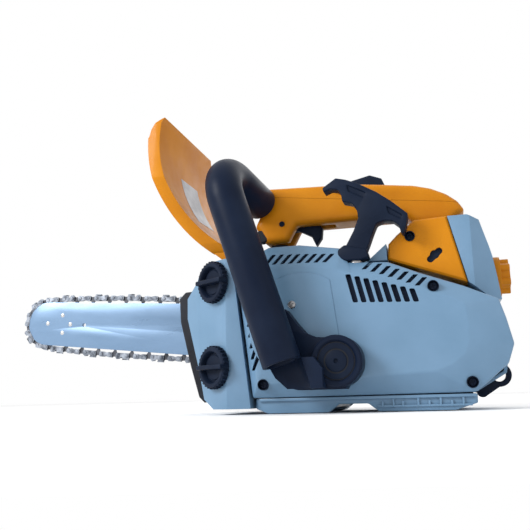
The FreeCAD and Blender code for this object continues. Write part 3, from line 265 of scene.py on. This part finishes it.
def edit_faces(piece, test):
    """Opens a piece in edit mode with the faces selected whose centre and normal pass the test."""
    edit(piece)
    bpy.ops.mesh.select_all(action="DESELECT")
    close_edit()
    for face in piece.data.polygons:
        face.select = test(face.center / MM, face.normal)
    bpy.ops.object.mode_set(mode="EDIT")


def settle(piece, name):
    """Names a new primitive and puts its place into its mesh."""
    piece.name = name
    piece.data.name = name
    choose(piece)
    bpy.ops.object.transform_apply(location=True, rotation=True, scale=True)
    return piece


def block(name, low, high):
    """A box between two corners, in mm."""
    low, high = Vector(low) * MM, Vector(high) * MM
    choose()
    bpy.ops.mesh.primitive_cube_add(size=1, location=(low + high) / 2, scale=high - low)
    return settle(bpy.context.object, name)


def rod(name, start, end, radius, sides=40, tip=None):
    """A round bar, or a cone where the tip's radius is given, between two points, in mm."""
    start, end = Vector(start) * MM, Vector(end) * MM
    line = end - start
    choose()
    bpy.ops.mesh.primitive_cone_add(
        vertices=sides, radius1=radius * MM, radius2=(radius if tip is None else tip) * MM,
        depth=line.length, location=(start + end) / 2,
        rotation=line.to_track_quat("Z", "Y").to_euler())
    return settle(bpy.context.object, name)


def drawn(name, points, low, high):
    """A plate from low to high along Y, its side outline drawn by pulling a vertex along."""
    choose()
    bpy.ops.mesh.primitive_plane_add(size=MM, location=(points[0][0] * MM, low * MM, points[0][1] * MM))
    piece = settle(bpy.context.object, name)
    edit(piece, "VERT")
    bpy.ops.mesh.merge(type="CENTER")
    for before, after in zip(points, points[1:]):
        step = ((after[0] - before[0]) * MM, 0, (after[1] - before[1]) * MM)
        bpy.ops.mesh.extrude_region_move(TRANSFORM_OT_translate={"value": step})
    bpy.ops.mesh.select_all(action="SELECT")
    bpy.ops.mesh.edge_face_add()
    bpy.ops.mesh.extrude_region_move(TRANSFORM_OT_translate={"value": (0, (high - low) * MM, 0)})
    bpy.ops.mesh.select_all(action="SELECT")
    bpy.ops.mesh.normals_make_consistent(inside=False)
    close_edit()
    return piece


def lathe(name, profile, centre, axis, sides=64):
    """A round piece: a profile of (radius, height) in mm is drawn and spun about an axis."""
    choose()
    bpy.ops.mesh.primitive_plane_add(size=MM, location=(profile[0][0] * MM, 0, profile[0][1] * MM))
    piece = settle(bpy.context.object, name)
    edit(piece, "VERT")
    bpy.ops.mesh.merge(type="CENTER")
    for before, after in zip(profile, profile[1:]):
        step = ((after[0] - before[0]) * MM, 0, (after[1] - before[1]) * MM)
        bpy.ops.mesh.extrude_region_move(TRANSFORM_OT_translate={"value": step})
    bpy.ops.mesh.select_all(action="SELECT")
    bpy.ops.mesh.spin(steps=sides, angle=2 * math.pi, center=(0, 0, 0), axis=(0, 0, 1))
    bpy.ops.mesh.select_all(action="SELECT")
    bpy.ops.mesh.remove_doubles(threshold=0.003 * MM)
    bpy.ops.mesh.normals_make_consistent(inside=False)
    close_edit()
    return move_to(piece, centre, axis)


def move_to(piece, centre, axis, turn=0):
    """Turns a piece that was made upright at the origin to an axis, and moves it to its place."""
    aim = Vector(axis).to_track_quat("Z", "Y").to_matrix().to_4x4()
    spin = Matrix.Rotation(math.radians(turn), 4, "Z")
    piece.matrix_world = Matrix.Translation(Vector(centre) * MM) @ aim @ spin
    choose(piece)
    bpy.ops.object.transform_apply(location=True, rotation=True, scale=True)
    return piece


def modify(piece, kind, **values):
    """Adds a modifier with its values and applies it."""
    choose(piece)
    step = piece.modifiers.new(kind.lower(), kind)
    for key, value in values.items():
        setattr(step, key, value)
    bpy.ops.object.modifier_apply(modifier=step.name)
    return piece


def round_edges(piece, width, segments=2, angle=30):
    """Rounds every edge sharper than the angle."""
    return modify(piece, "BEVEL", width=width * MM, segments=segments, limit_method="ANGLE",
                  angle_limit=math.radians(angle), use_clamp_overlap=True, miter_outer="MITER_ARC")


def melt(piece, voxel, rounds):
    """Gives a piece the soft edges of a thick moulding."""
    modify(piece, "REMESH", mode="VOXEL", voxel_size=voxel * MM, use_smooth_shade=True)
    return modify(piece, "SMOOTH", factor=0.5, iterations=rounds)


def carve(piece, *cutters):
    """Cuts other pieces out of a piece."""
    for cutter in cutters:
        modify(piece, "BOOLEAN", operation="DIFFERENCE", object=cutter, solver="EXACT")
        bpy.data.objects.remove(cutter)
    return piece


def weld(name, *pieces):
    """Joins pieces into one object."""
    choose(pieces[0])
    for piece in pieces:
        piece.select_set(True)
    bpy.ops.object.join()
    pieces[0].name = name
    pieces[0].data.name = name
    return pieces[0]


def twin(piece, name, move=(0, 0, 0)):
    """A copy of a piece with its own mesh, moved by some mm."""
    copy = bpy.data.objects.new(name, piece.data.copy())
    bpy.context.scene.collection.objects.link(copy)
    copy.location = Vector(move) * MM
    return settle(copy, name)


def copy_of(node, name):
    """A merged copy of a CAD node, to be shaped further."""
    piece = bpy.data.objects.new(name, nodes[node].data.copy())
    bpy.context.scene.collection.objects.link(piece)
    piece.data.materials.clear()
    edit(piece)
    bpy.ops.mesh.remove_doubles(threshold=0.01 * MM)
    bpy.ops.mesh.dissolve_limited(angle_limit=math.radians(0.5))
    close_edit()
    return piece


def trim(piece, point, normal, fill=True):
    """Cuts away what lies on the far side of a plane."""
    edit(piece)
    bpy.ops.mesh.bisect(plane_co=Vector(point) * MM, plane_no=normal, clear_outer=True, use_fill=fill)
    close_edit()
    return piece


def place(piece, finish, body, *replaced, angle=32):
    """Gives a finished piece its finish and its body, and says which nodes it stands for."""
    choose(piece)
    bpy.ops.object.shade_smooth_by_angle(angle=math.radians(angle))
    piece.data.materials.clear()
    piece.data.materials.append(FINISHES[finish])
    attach(piece, body)
    if replaced:
        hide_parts(*replaced)
    return piece


def corners(node):
    """Lowest and highest corner of a node, in mm."""
    low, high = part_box(node)
    return low / MM, high / MM


def joint(name):
    """Place in mm and axis of a joint."""
    for entry in frame["joints"]:
        if entry["name"] == name:
            return Vector(entry["pos_m"]) / MM, Vector(entry["axis"]).normalized()


# ---- shells ---------------------------------------------------------------------------------

def screw_head(name, centre, axis, radius, cup=0.0):
    """A cross-recess screw head, in a deep cup if wanted; the axis points out of the surface."""
    head = lathe(name, [(0, 0), (radius, 0), (radius, 1.2), (radius - 0.5, 1.8), (0, 2.2)],
                 (0, 0, 0), (0, 0, 1), 28)
    wide, thin = radius * 0.62, radius * 0.16
    carve(head, block("cross_a", (-wide, -thin, 0.9), (wide, thin, 4)),
          block("cross_b", (-thin, -wide, 0.9), (thin, wide, 4)))
    if cup:
        wall = [(radius + 0.3, -0.4), (cup, -0.4), (cup, 4.2), (cup - 0.5, 4.4), (radius + 0.5, 1.0),
                (radius + 0.3, -0.4)]
        head = weld(name, head, lathe(name + "_cup", wall, (0, 0, 0), (0, 0, 1), 28))
    return move_to(head, centre, axis, 20)


def cover_rings():
    """Outer outline of the starter cover, and the corners of its flat field, in the same order."""
    low, high = corners("starter_cover")
    left, right, foot = low.x, high.x, low.z
    outer = [(right - 29, foot + 0.5), (right - 20, foot + 7.3), (right - 5, foot + 20),
             (right, foot + 34), (right - 4, foot + 53), (right - 8, foot + 67),
             (right - 32, foot + 78), (right - 63, foot + 90), (right - 86, foot + 100),
             (right - 117, foot + 102), (right - 121, foot + 113.5), (right - 155, foot + 119),
             (left + 28, foot + 119), (left, foot + 106), (left + 12, foot)]
    field = [(right - 55, foot + 16), (right - 45, foot + 20), (right - 35, foot + 27),
             (right - 31, foot + 37), (right - 31, foot + 50), (right - 32, foot + 63),
             (right - 41, foot + 69), (right - 67, foot + 79), (right - 87, foot + 88),
             (right - 113, foot + 91), (right - 126, foot + 96), (right - 155, foot + 101),
             (left + 32, foot + 99), (left + 14, foot + 92), (left + 18, foot + 10)]
    return low, high, outer, field


def cover_body(name, drop):
    """Faceted body of the starter cover, drawn, pulled in at its field, and open to the inside."""
    low, high, outer, field = cover_rings()
    middle = Vector((50, 0, 65))
    if drop:
        outer, field = [[shrink(spot, middle, drop) for spot in ring] for ring in (outer, field)]
    body = drawn(name, outer, low.y + FACE_STEP, high.y)
    edit_faces(body, lambda centre, normal: normal.y < -0.9)
    bpy.ops.mesh.extrude_region_move(TRANSFORM_OT_translate={"value": (0, (drop - FACE_STEP) * MM, 0)})
    close_edit()
    front = (low.y + drop) * MM
    for start, end in zip(outer, field):
        edit(body, "VERT")
        bpy.ops.mesh.select_all(action="DESELECT")
        close_edit()
        spot = Vector((start[0] * MM, front, start[1] * MM))
        for corner in body.data.vertices:
            corner.select = (corner.co - spot).length < 0.05 * MM
        bpy.ops.object.mode_set(mode="EDIT")
        bpy.ops.transform.translate(value=((end[0] - start[0]) * MM, 0, (end[1] - start[1]) * MM))
        close_edit()
    edit_faces(body, lambda centre, normal: normal.y > 0.9)
    bpy.ops.mesh.delete(type="FACE")
    close_edit()
    return body


def shrink(spot, middle, drop):
    """Moves an outline corner towards the middle."""
    inward = Vector((middle.x - spot[0], 0, middle.z - spot[1])).normalized() * drop * 1.25
    return spot[0] + inward.x, spot[1] + inward.z


def slot_cutter(name, foot, tip, width, depth):
    """A leaning rounded slot from its lower left to its upper left corner, through the cover."""
    low, _ = corners("starter_cover")
    points = [foot, (foot[0] + width, foot[1]), (tip[0] + width, tip[1]), tip]
    cutter = drawn(name, points, low.y - SLOT_MARGIN, low.y + depth)
    return round_edges(cutter, width * 0.28, 3, 50)


def cover_slots():
    """All the cooling slots: beside the field, at the front edge, and two rows in the shoulder."""
    low, _ = corners("starter_cover")
    left, foot = low.x, low.z
    slots = []
    for n in range(8):
        slots.append(slot_cutter("side_%d" % n, (left + 95 + 6.4 * n, foot + 69 - 0.3 * n),
                                 (left + 90 + 6.7 * n, foot + 91 - 2 * n), 4.1, 7))
    for n in range(6):
        slots.append(slot_cutter("front_%d" % n, (left + 8.5 + 0.9 * n, foot + 64 - 8.6 * n),
                                 (left + 18.1 + 0.9 * n, foot + 84 - 8.6 * n), 3.5, 12))
    for n in range(8):
        slots.append(slot_cutter("upper_%d" % n, (left + 25 + 6.7 * n, foot + 103.5 - 0.2 * n),
                                 (left + 31.5 + 6.7 * n, foot + 112 - 0.4 * n), 3.6, 13))
    for n in range(7):
        slots.append(slot_cutter("rear_%d" % n, (left + 102 + 6.5 * n, foot + 94.5 - 2.6 * n),
                                 (left + 108 + 6.5 * n, foot + 101.5 - 2.6 * n), 3.8, 13))
    return weld("slots", *slots)


def starter_cover():
    """Left shell with its facets, slots, raised flywheel field and sunk screws."""
    low, high = corners("starter_cover")
    crank, _ = joint("crank_spin")
    face = low.y
    cover = cover_body("starter_shell", 0)
    round_edges(cover, 1.3, 3, 12)
    modify(cover, "SOLIDIFY", thickness=COVER_WALL * MM, offset=-1)
    spots = [(low.x + 23, low.z + 10, 1.2), (high.x - 31, low.z + 7.5, 6.5),
             (high.x - 53.5, low.z + 78, 1.8)]
    sinks = [rod("sink_%d" % n, (x, face - 5, z), (x, face + deep + 7, z), 4.3, 28)
             for n, (x, z, deep) in enumerate(spots)]
    arm_low, arm_high = corners("guard_pins")
    notch = block("arm_notch", (low.x - 2, arm_low.y - 1, arm_low.z - 10),
                  (arm_high.x + 9, arm_low.y + 7, high.z + 1))
    rope_low, rope_high = corners("rope_guide")
    eyelet = (rope_low + rope_high) / 2
    way = rod("rope_way", eyelet - Vector((0, 0, 6)), eyelet + Vector((0, 0, 12)), 5, 32)
    carve(cover, cover_slots(), weld("sinks", *sinks), notch, way)
    place(cover, "body_grey", "root", "starter_cover", angle=25)
    middle = Vector((crank.x + 6, face, crank.z - 3))
    disc = rod("flywheel_field", middle - Vector((0, 0.9, 0)), middle + Vector((0, 0.4, 0)), 42, 96)
    trim(disc, (crank.x + 33, 0, crank.z), Vector((1, 0, 0.12)))
    trim(disc, (0, 0, crank.z - 38), (0, 0, -1))
    edit(disc)
    bpy.ops.mesh.dissolve_limited(angle_limit=math.radians(1))
    close_edit()
    place(round_edges(disc, 0.6, 3), "body_grey", "root")
    screws = [screw_head("cover_screw_%d" % n, (x, face + deep + 2.0, z), LEFTWARD, 3.1, 4.2)
              for n, (x, z, deep) in enumerate(spots)]
    place(weld("cover_screw_heads", *screws), "black_plastic", "root", "cover_screws")
    stud = screw_head("post_screw", (crank.x - 1, face - 1.1, crank.z + 14), LEFTWARD, 3.0)
    place(stud, "steel", "root")


def painted_shade_skin():
    """Black inner skin of painted shade: a thin dark sheet just inside the cover that stands in for the shade seen
    through the cooling slots.
    """
    shade_sheet = cover_body("painted_shade_skin", 3.0)
    crank, _ = joint("crank_spin")
    low, high = corners("spring_case")
    modify(shade_sheet, "SOLIDIFY", thickness=0.4 * MM, offset=-1)
    room = rod("spring_room", (crank.x, low.y - 4, crank.z), (crank.x, high.y, crank.z), 30.5, 48)
    carve(shade_sheet, room)
    # black sheet painted as the shade inside the cover, not a real part
    place(shade_sheet, "black_plastic", "root")


def base_rail():
    """Ribbed ledges along the left side of the tray, and the seal on top of it."""
    low, high = corners("base_tray")
    back = low.y + 1
    pieces = [block("ledge_top", (low.x + 4, low.y - 2.4, high.z - 2.2), (high.x - 1, back, high.z)),
              block("ledge_low", (low.x + 95, low.y - 1.6, low.z + 3.0), (high.x - 4, back, low.z + 4.6))]
    for number, x in enumerate((62, 70, 77, 88, 96, 104, 112, 120)):
        tall = high.z - 1.5 if number % 2 else high.z - 4
        pieces.append(block("rail_rib_%d" % number, (x, low.y - 1.8, low.z + 3), (x + 1.6, back, tall)))
    place(round_edges(weld("base_rail", *pieces), 0.35, 2), "body_grey", "root")
    seal = block("tray_seal", (low.x + 3, low.y + 2, high.z - 0.1), (high.x - 3, low.y + 4, high.z + 1.4))
    place(round_edges(seal, 0.2), "black_rubber", "root")


def softened_shells():
    """The remaining housings: copies of the fixed bodies with moulded, rounded edges."""
    for node, width, segments in (("engine_cowl", 1.0, 2), ("right_shroud", 0.8, 2), ("base_tray", 0.9, 2),
                                  ("clutch_cover", 1.1, 3), ("filter_cover", 1.2, 3),
                                  ("front_housing", 2.2, 4)):
        body = "filter_lid" if node == "filter_cover" else "root"
        finish = slot_of_node(node) if node == "clutch_cover" else "body_grey"
        place(round_edges(copy_of(node, node + "_skin"), width, segments), finish, body, node)


def slot_of_node(node):
    """The finish that the record gives a node."""
    for part in frame["record"]["subparts"]:
        if part["node"] == node:
            return part["material_slot"]


def rear_housing():
    """Orange box under the rear of the handle, with an oblong hole, a black plate of painted shade behind it, and
    a sunk screw.
    """
    low, _ = corners("rear_housing")
    shell = copy_of("rear_housing", "rear_shell")
    middle = Vector((low.x + 36, low.y, low.z + 22.5))
    lean = Vector((3.4, 0, 3.0))
    outward, inward = Vector((0, 4, 0)), Vector((0, 5, 0))
    slot = rod("oblong", middle + lean - outward, middle + lean + inward, 2.7, 24)
    other = rod("oblong_end", middle - lean - outward, middle - lean + inward, 2.7, 24)
    bridge = block("oblong_middle", (-4.5, -4, -2.7), (4.5, 5, 2.7))
    slant = Matrix.Rotation(-math.atan2(lean.z, lean.x), 4, "Y")
    bridge.matrix_world = Matrix.Translation(middle * MM) @ slant
    settle(bridge, "oblong_middle")
    screw_spot = Vector((low.x + 18, low.y, low.z + 39))
    sink = rod("sink", screw_spot - Vector((0, 3, 0)), screw_spot + Vector((0, 3.5, 0)), 4.1)
    carve(shell, slot, other, bridge, sink)
    round_edges(shell, 1.0, 3)
    place(shell, "orange", "root", "rear_housing")
    # thin black plate just behind the oblong hole: painted shade standing in for the dark inside seen through it
    hole_shade_plate = block("painted_hole_shade", middle + Vector((-9, 2.5, -8)), middle + Vector((9, 3.1, 8)))
    place(round_edges(hole_shade_plate, 0.2), "black_plastic", "root")
    head = screw_head("housing_screw", screw_spot + Vector((0, 2.9, 0)), LEFTWARD, 3.0, 4.0)
    place(head, "black_plastic", "root")


# ---- handles --------------------------------------------------------------------------------

def top_handle():
    """Rounded rear handle, parted along its seam into the grip and its cover."""
    whole = weld("handle_all", copy_of("top_handle", "handle_a"), copy_of("handle_cover", "handle_b"))
    melt(whole, 1.1, 14)
    low, high = corners("handle_cover")
    seam = Vector((low.x + 59, 0, high.z - 15.5))
    slope = Vector((12.5, 0, 100)).normalized()
    upper = twin(whole, "handle_top")
    trim(upper, seam + slope * 0.12, -slope)
    trim(whole, seam - slope * 0.12, slope)
    whole.name = "handle_grip"
    place(whole, "orange", "root", "top_handle")
    place(upper, "orange", "root", "handle_cover")


def front_tube():
    """Black front handle, with softened rims."""
    tube = copy_of("front_tube", "tube_handle")
    place(round_edges(tube, 0.6, 2, 50), "handle_tube", "root", "front_tube", angle=45)


def tube_bracket():
    """Moulded foot of the tube, and the ringed plug in its boss."""
    bracket = round_edges(copy_of("tube_bracket", "tube_foot"), 1.3, 3)
    place(bracket, "handle_tube", "root", "tube_bracket")
    low, high = corners("tube_bracket")
    centre = (high.x - BOSS_FROM_REAR, BOSS_FACE, low.z + BOSS_FROM_FOOT)
    profile = [(0, -6), (13.6, -6), (13.6, -0.4), (13.0, 0.3), (9.2, 0.3), (8.8, -0.5), (8.2, -0.5),
               (7.8, 0.6), (7.0, 0.9), (1.8, 0.9), (1.2, -0.6), (0, -0.8)]
    place(lathe("boss_plug", profile, centre, LEFTWARD), "black_plastic", "root")
    collar = [(14.4, -3), (18.6, -3), (18.6, 0.2), (17.6, 1.3), (15.4, 1.3), (14.4, 0.3), (14.4, -3)]
    place(lathe("boss_collar", collar, centre, LEFTWARD), "handle_tube", "root")


def hand_guard():
    """Curved guard with rounded lips, and a plain label on its rear face."""
    guard = round_edges(copy_of("hand_guard", "guard_paddle"), 1.4, 3)
    place(guard, "orange", "guard", "hand_guard")
    near, far = GUARD_AXIS - Vector((0, 26, 0)), GUARD_AXIS + Vector((0, 14, 0))
    label = rod("guard_label", near, far, GUARD_FACE_R, 300)
    edit_faces(label, lambda centre, normal: abs(normal.y) > 0.9)
    bpy.ops.mesh.delete(type="FACE")
    close_edit()
    trim(label, (0, 0, LABEL_HIGH), (0, 0, 1), False)
    trim(label, (0, 0, LABEL_LOW), (0, 0, -1), False)
    trim(label, (-30, 0, 0), (1, 0, 0), False)
    modify(label, "SOLIDIFY", thickness=0.2 * MM, offset=1)
    place(label, "label_grey", "guard")


def starter_grip():
    """T-shaped pull with hooked ends, two pockets in its bar, and a collar at the foot of its neck."""
    low, high = corners("starter_grip")
    guide_low, guide_high = corners("rope_guide")
    middle = (guide_low.x + guide_high.x) / 2
    foot = guide_high.z
    shift = middle + GRIP_SHIFT
    outline = [(-24, 60.4), (-12.4, 67.5), (-3.8, 65.4), (6.6, 61.2), (21.4, 52.8), (33.2, 44.1), (45.6, 33.3),
               (44, 24.6), (41.4, 17.6), (39, 19.5), (38, 24.6), (33.2, 28.6), (25.8, 29.6), (19.9, 27.5),
               (16.9, 21.7), (13.2, 13), (9.5, 5), (-11, 5), (-6, 12.2), (0.6, 23.1), (5.1, 33.3), (4.3, 40.5),
               (0.6, 45.6), (-7.5, 47.8), (-8.3, 53.6), (-11.2, 57.9), (-17.1, 59.1), (-23, 56.8)]
    points = [(shift + GRIP_STRETCH * x, foot + z) for x, z in outline]
    grip = drawn("pull_grip", points, low.y + 1.5, high.y - 1.5)
    pockets = []
    for number, pocket in enumerate(([(-3, 61), (12.5, 53.2), (10.3, 49.2), (-2.3, 55.7)],
                                     [(28.8, 40.6), (41, 32.5), (39.9, 29.6), (30.3, 34.7)])):
        points = [(shift + GRIP_STRETCH * x, foot + z) for x, z in pocket]
        pockets.append(drawn("pocket_%d" % number, points, low.y - 1, low.y + 3.2))
    carve(grip, *pockets)
    round_edges(grip, 0.9, 3, 25)
    collar = [(-13.5, 1.5), (-12.5, 9), (-7.5, 12.5), (9.5, 8), (11.2, 1.5), (5, -0.3), (-6, -0.3)]
    ring = drawn("pull_collar", [(middle + x, foot + z) for x, z in collar], low.y + 0.2, high.y - 0.2)
    whole = weld("pull_grip", grip, round_edges(ring, 1.6, 3, 15))
    place(whole, "black_plastic", "grip", "starter_grip")


def cap(name, joint_name, body, node):
    """A tank cap: knurled rim, sunk face and a raised cross rib."""
    centre, axis = joint(joint_name)
    profile = [(0, 6.2), (9.6, 6.2), (10.2, 5.4), (11.4, 5.4), (12.2, 8.6), (13.2, 9.6), (15.4, 9.6),
               (16.4, 8.6), (16.4, 3.5), (0, 3.5), (0, 6.2)]
    lid = lathe(name + "_lid", profile, (0, 0, 0), (0, 0, 1))
    tooth = round_edges(block("knurl", (15.8, -0.8, 3.6), (17.3, 0.8, 8.8)), 0.35, 1)
    teeth = []
    for number in range(KNURLS):
        copy = twin(tooth, "knurl_%d" % number)
        copy.matrix_world = Matrix.Rotation(2 * math.pi * number / KNURLS, 4, "Z")
        teeth.append(settle(copy, copy.name))
    bpy.data.objects.remove(tooth)
    rib = block(name + "_rib", (-14.5, -2.4, 5.4), (17.4, 2.4, 13.4))
    edit_faces(rib, lambda middle, normal: normal.z > 0.9)
    bpy.ops.transform.resize(value=(1, 0.7, 1))
    close_edit()
    round_edges(rib, 0.8, 3)
    whole = weld(name, lid, rib, *teeth)
    move_to(whole, centre, axis)
    place(whole, "black_plastic", body, node)


def levers():
    """Trigger and lockout as soft mouldings."""
    for node, body in (("throttle_trigger", "trigger"), ("throttle_lockout", "lockout")):
        place(melt(copy_of(node, node + "_skin"), 0.6, 4), "black_plastic", body, node)


def small_black_parts():
    """Bumper strip, line ring, boot and switch with rounded edges."""
    for node, body, width in (("bumper_strip", "root", 1.6), ("lanyard_ring", "root", 1.4),
                              ("stop_switch", "switch", 0.8), ("choke_lever", "choke", 0.6),
                              ("plug_boot", "root", 1.0)):
        piece = round_edges(copy_of(node, node + "_skin"), width, 3)
        place(piece, slot_of_node(node), body, node)


def handle_bits():
    """Rubber bush in front of the handle, and the end of the trigger pin."""
    low, _ = corners("top_handle")
    bush = [(0, 0), (5.0, 0), (5.9, -1), (5.9, -6), (0, -6), (0, 0)]
    bush_spot = low + Vector((6.5, 0.5, 6.6))
    place(lathe("front_bush", bush, bush_spot, LEFTWARD), "black_rubber", "root")
    pin, _ = joint("trigger_pull")
    end = [(0, -0.4), (1.2, -0.4), (1.5, 0.1), (2.2, 0.1), (2.4, -0.2), (2.4, -1.5), (0, -1.5), (0, -0.4)]
    place(lathe("pin_end", end, (pin.x, low.y, pin.z), LEFTWARD, 28), "black_plastic", "root")


def filter_knob():
    """Lobed knob with a raised hub."""
    knob = round_edges(copy_of("filter_knob", "lid_knob_skin"), 0.7, 2)
    place(knob, "orange", "lid_knob", "filter_knob")


def air_filter():
    """Pleated filter block in its black frame."""
    low, high = corners("air_filter")
    fold = (high.z - low.z - 2) / PLEATS
    rear = [(high.x if n % 2 else high.x - 5, low.z + 1 + n * fold) for n in range(PLEATS + 1)]
    outline = [(low.x + 1, low.z + 1), *rear, (low.x + 1, high.z - 1)]
    place(drawn("filter_pleats", outline, low.y + 2, high.y - 2), "filter_felt", "root", "air_filter")
    frame_outer = block("filter_frame", low, (low.x + 5, high.y, high.z))
    room = block("filter_frame_room", low + Vector((-1, 2, 1)), (low.x + 6, high.y - 2, high.z - 1))
    place(round_edges(carve(frame_outer, room), 0.3, 2), "black_plastic", "root")


# ---- bar and chain --------------------------------------------------------------------------

def guide_bar():
    """Bar with softened rails and the rivets of its nose."""
    bar = round_edges(copy_of("guide_bar", "bar_blade"), 0.25, 2)
    place(bar, "bar_steel", "root", "guide_bar")
    low, _ = corners("guide_bar")
    nose, _ = joint("bar_nose_spin")
    heads = []
    for number, (along, up) in enumerate(((0, 0), (17, 9), (17, -9), (26, 0))):
        x, z = nose.x + along, nose.z + up - along * BAR_TAPER
        profile = [(0, 0.3), (1.5, 0.3), (2.1, 0), (2.2, -0.4), (0, -0.4), (0, 0.3)]
        heads.append(lathe("nose_rivet_%d" % number, profile, (x, low.y, z), LEFTWARD, 20))
    place(weld("nose_rivets", *heads), "steel", "root")


def chain_path():
    """Corners of the loop that the chain's rivets follow, with the drive wheel at its rear."""
    nose, _ = joint("bar_nose_spin")
    drive, _ = joint("drum_spin")
    low, high = corners("saw_chain")
    nose_r = nose.x - low.x - 4.3
    drive_r = high.x - drive.x - 3.6
    lean = math.atan2(nose.z - drive.z, drive.x - nose.x)
    forward = Vector((math.cos(lean), 0, -math.sin(lean)))
    upward = Vector((math.sin(lean), 0, math.cos(lean)))
    middle = Vector((nose.x, (low.y + high.y) / 2, nose.z))
    rear = Vector((drive.x, middle.y, drive.z))
    path = []
    for step in range(-9, 10):
        turn = math.radians(10 * step)
        path.append(middle - forward * nose_r * math.cos(turn) + upward * nose_r * math.sin(turn))
    path += [middle + forward * along + upward * (nose_r + rise)
             for along, rise in ((35, 2.6), (80, 4.2), (140, 4.6), (200, 4.2), (232, 3))]
    for step in range(9, -10, -1):
        turn = math.radians(10 * step)
        path.append(rear + forward * drive_r * math.cos(turn) + upward * drive_r * math.sin(turn))
    path += [middle + forward * along - upward * (nose_r + rise)
             for along, rise in ((232, 3), (200, 4.2), (140, 4.6), (80, 4.2), (35, 2.6))]
    return path + path[:1]


def chain_stations(pitch):
    """Equally spaced points along the loop, as close to the pitch as closes it."""
    path = chain_path()
    runs = [(after - before).length for before, after in zip(path, path[1:])]
    count = 2 * round(sum(runs) / pitch / 2)
    step = sum(runs) / count
    stations, travelled, leg = [], 0.0, 0
    for number in range(count):
        while travelled + runs[leg] < number * step:
            travelled += runs[leg]
            leg += 1
        share = (number * step - travelled) / runs[leg]
        stations.append(path[leg].lerp(path[leg + 1], share))
    return stations


def rivets():
    """Two rivet heads on each side of a link."""
    heads = []
    for x in (0, PITCH):
        for side in (-1, 1):
            start, end = (x, side * 1.9, 0), (x, side * RIVET_TOP, 0)
            heads.append(rod("rivet_%d_%d" % (x, side), start, end, 1.9, 10, 1.5))
    return heads


def link_outlines():
    """Side outlines of the tie strap, the drive link with its tang, and the cutter's plate."""
    p = PITCH
    waist = [(-2.6, -1.0), (-1.6, -2.6), (1.4, -2.6), (p / 2, -1.7), (p - 1.4, -2.6), (p + 1.6, -2.6),
             (p + 2.6, -1.0), (p + 2.6, 1.0), (p + 1.6, 2.6), (p - 1.4, 2.6), (p / 2, 1.7), (1.4, 2.6),
             (-1.6, 2.6), (-2.6, 1.0)]
    tang = [(-2.4, 0), (-1.2, -2.4), (2.6, -2.6), (p / 2, -6.4), (p - 2.0, -2.6), (p + 1.2, -2.4),
            (p + 2.4, 0), (p + 1.4, 2.2), (p / 2, 1.5), (-1.4, 2.2)]
    tooth = [(-2.6, -1.0), (-1.6, -2.6), (p + 1.6, -2.6), (p + 2.6, -1.0), (p + 2.7, 2.6), (p + 1.4, 3.8),
             (p - 1.6, 3.3), (p - 2.6, 1.6), (p / 2 + 0.6, 1.2), (p / 2 - 0.4, 4.1), (-1.8, 3.2),
             (-2.6, 1.0)]
    return waist, tang, tooth


def cutter(name, side, tooth, waist):
    """A link whose plate on one side carries a tooth that is folded over the top."""
    outer = sorted((side * PLATE_IN, side * PLATE_OUT))
    inner = sorted((-side * PLATE_IN, -side * PLATE_OUT))
    near, far = sorted((side * PLATE_OUT, -side * 0.9))
    top = block("tooth_top", (-1.8, near, 3.1), (PITCH / 2 - 0.4, far, 4.1))
    edit_faces(top, lambda middle, normal: normal.x > 0.9)
    bpy.ops.transform.translate(value=(0, 0, 0.1 * MM))
    close_edit()
    plates = drawn("tooth_plate", tooth, *outer), drawn("strap_c", waist, *inner)
    return weld(name, *plates, top, *rivets())


def link_shapes():
    """The four kinds of link: drive link, tie strap, and left and right cutter."""
    waist, tang, tooth = link_outlines()
    drive = drawn("drive_link", tang, -DRIVE_HALF, DRIVE_HALF)
    straps = drawn("strap_a", waist, -PLATE_OUT, -PLATE_IN), drawn("strap_b", waist, PLATE_IN, PLATE_OUT)
    strap = weld("tie_strap", *straps, *rivets())
    return [drive, strap, cutter("left_cutter", -1, tooth, waist), cutter("right_cutter", 1, tooth, waist)]


def saw_chain():
    """The whole chain: links copied round the loop."""
    stations = chain_stations(PITCH)
    kinds = link_shapes()
    dull, bright = [], []
    for number, start in enumerate(stations):
        end = stations[(number + 1) % len(stations)]
        run = (end - start).normalized()
        kind = 0 if number % 2 else (1, 2, 1, 3)[(number // 2) % 4]
        link = twin(kinds[kind], "link_%d" % number)
        out = Vector(LEFTWARD).cross(run)
        link.matrix_world = Matrix((
            (run.x, 0, out.x, start.x * MM), (run.y, 1, out.y, start.y * MM),
            (run.z, 0, out.z, start.z * MM), (0, 0, 0, 1)))
        settle(link, link.name)
        (dull if kind == 0 else bright).append(link)
    for kind in kinds:
        bpy.data.objects.remove(kind)
    place(weld("chain_drive_links", *dull), "chain_steel", "root")
    place(weld("chain_straps", *bright), "chain_bright", "root", "saw_chain")


dress_frame()
camera()
stage()
for make in (starter_cover, painted_shade_skin, base_rail, softened_shells, rear_housing, top_handle,
             front_tube, tube_bracket, hand_guard, starter_grip, levers, small_black_parts,
             handle_bits, filter_knob, air_filter, guide_bar, saw_chain):
    make()
cap("fuel_filler_cap", "fuel_cap_turn", "fuel_filler", "fuel_cap")
cap("oil_filler_cap", "oil_cap_turn", "oil_filler", "oil_cap")
bpy.context.view_layer.update()
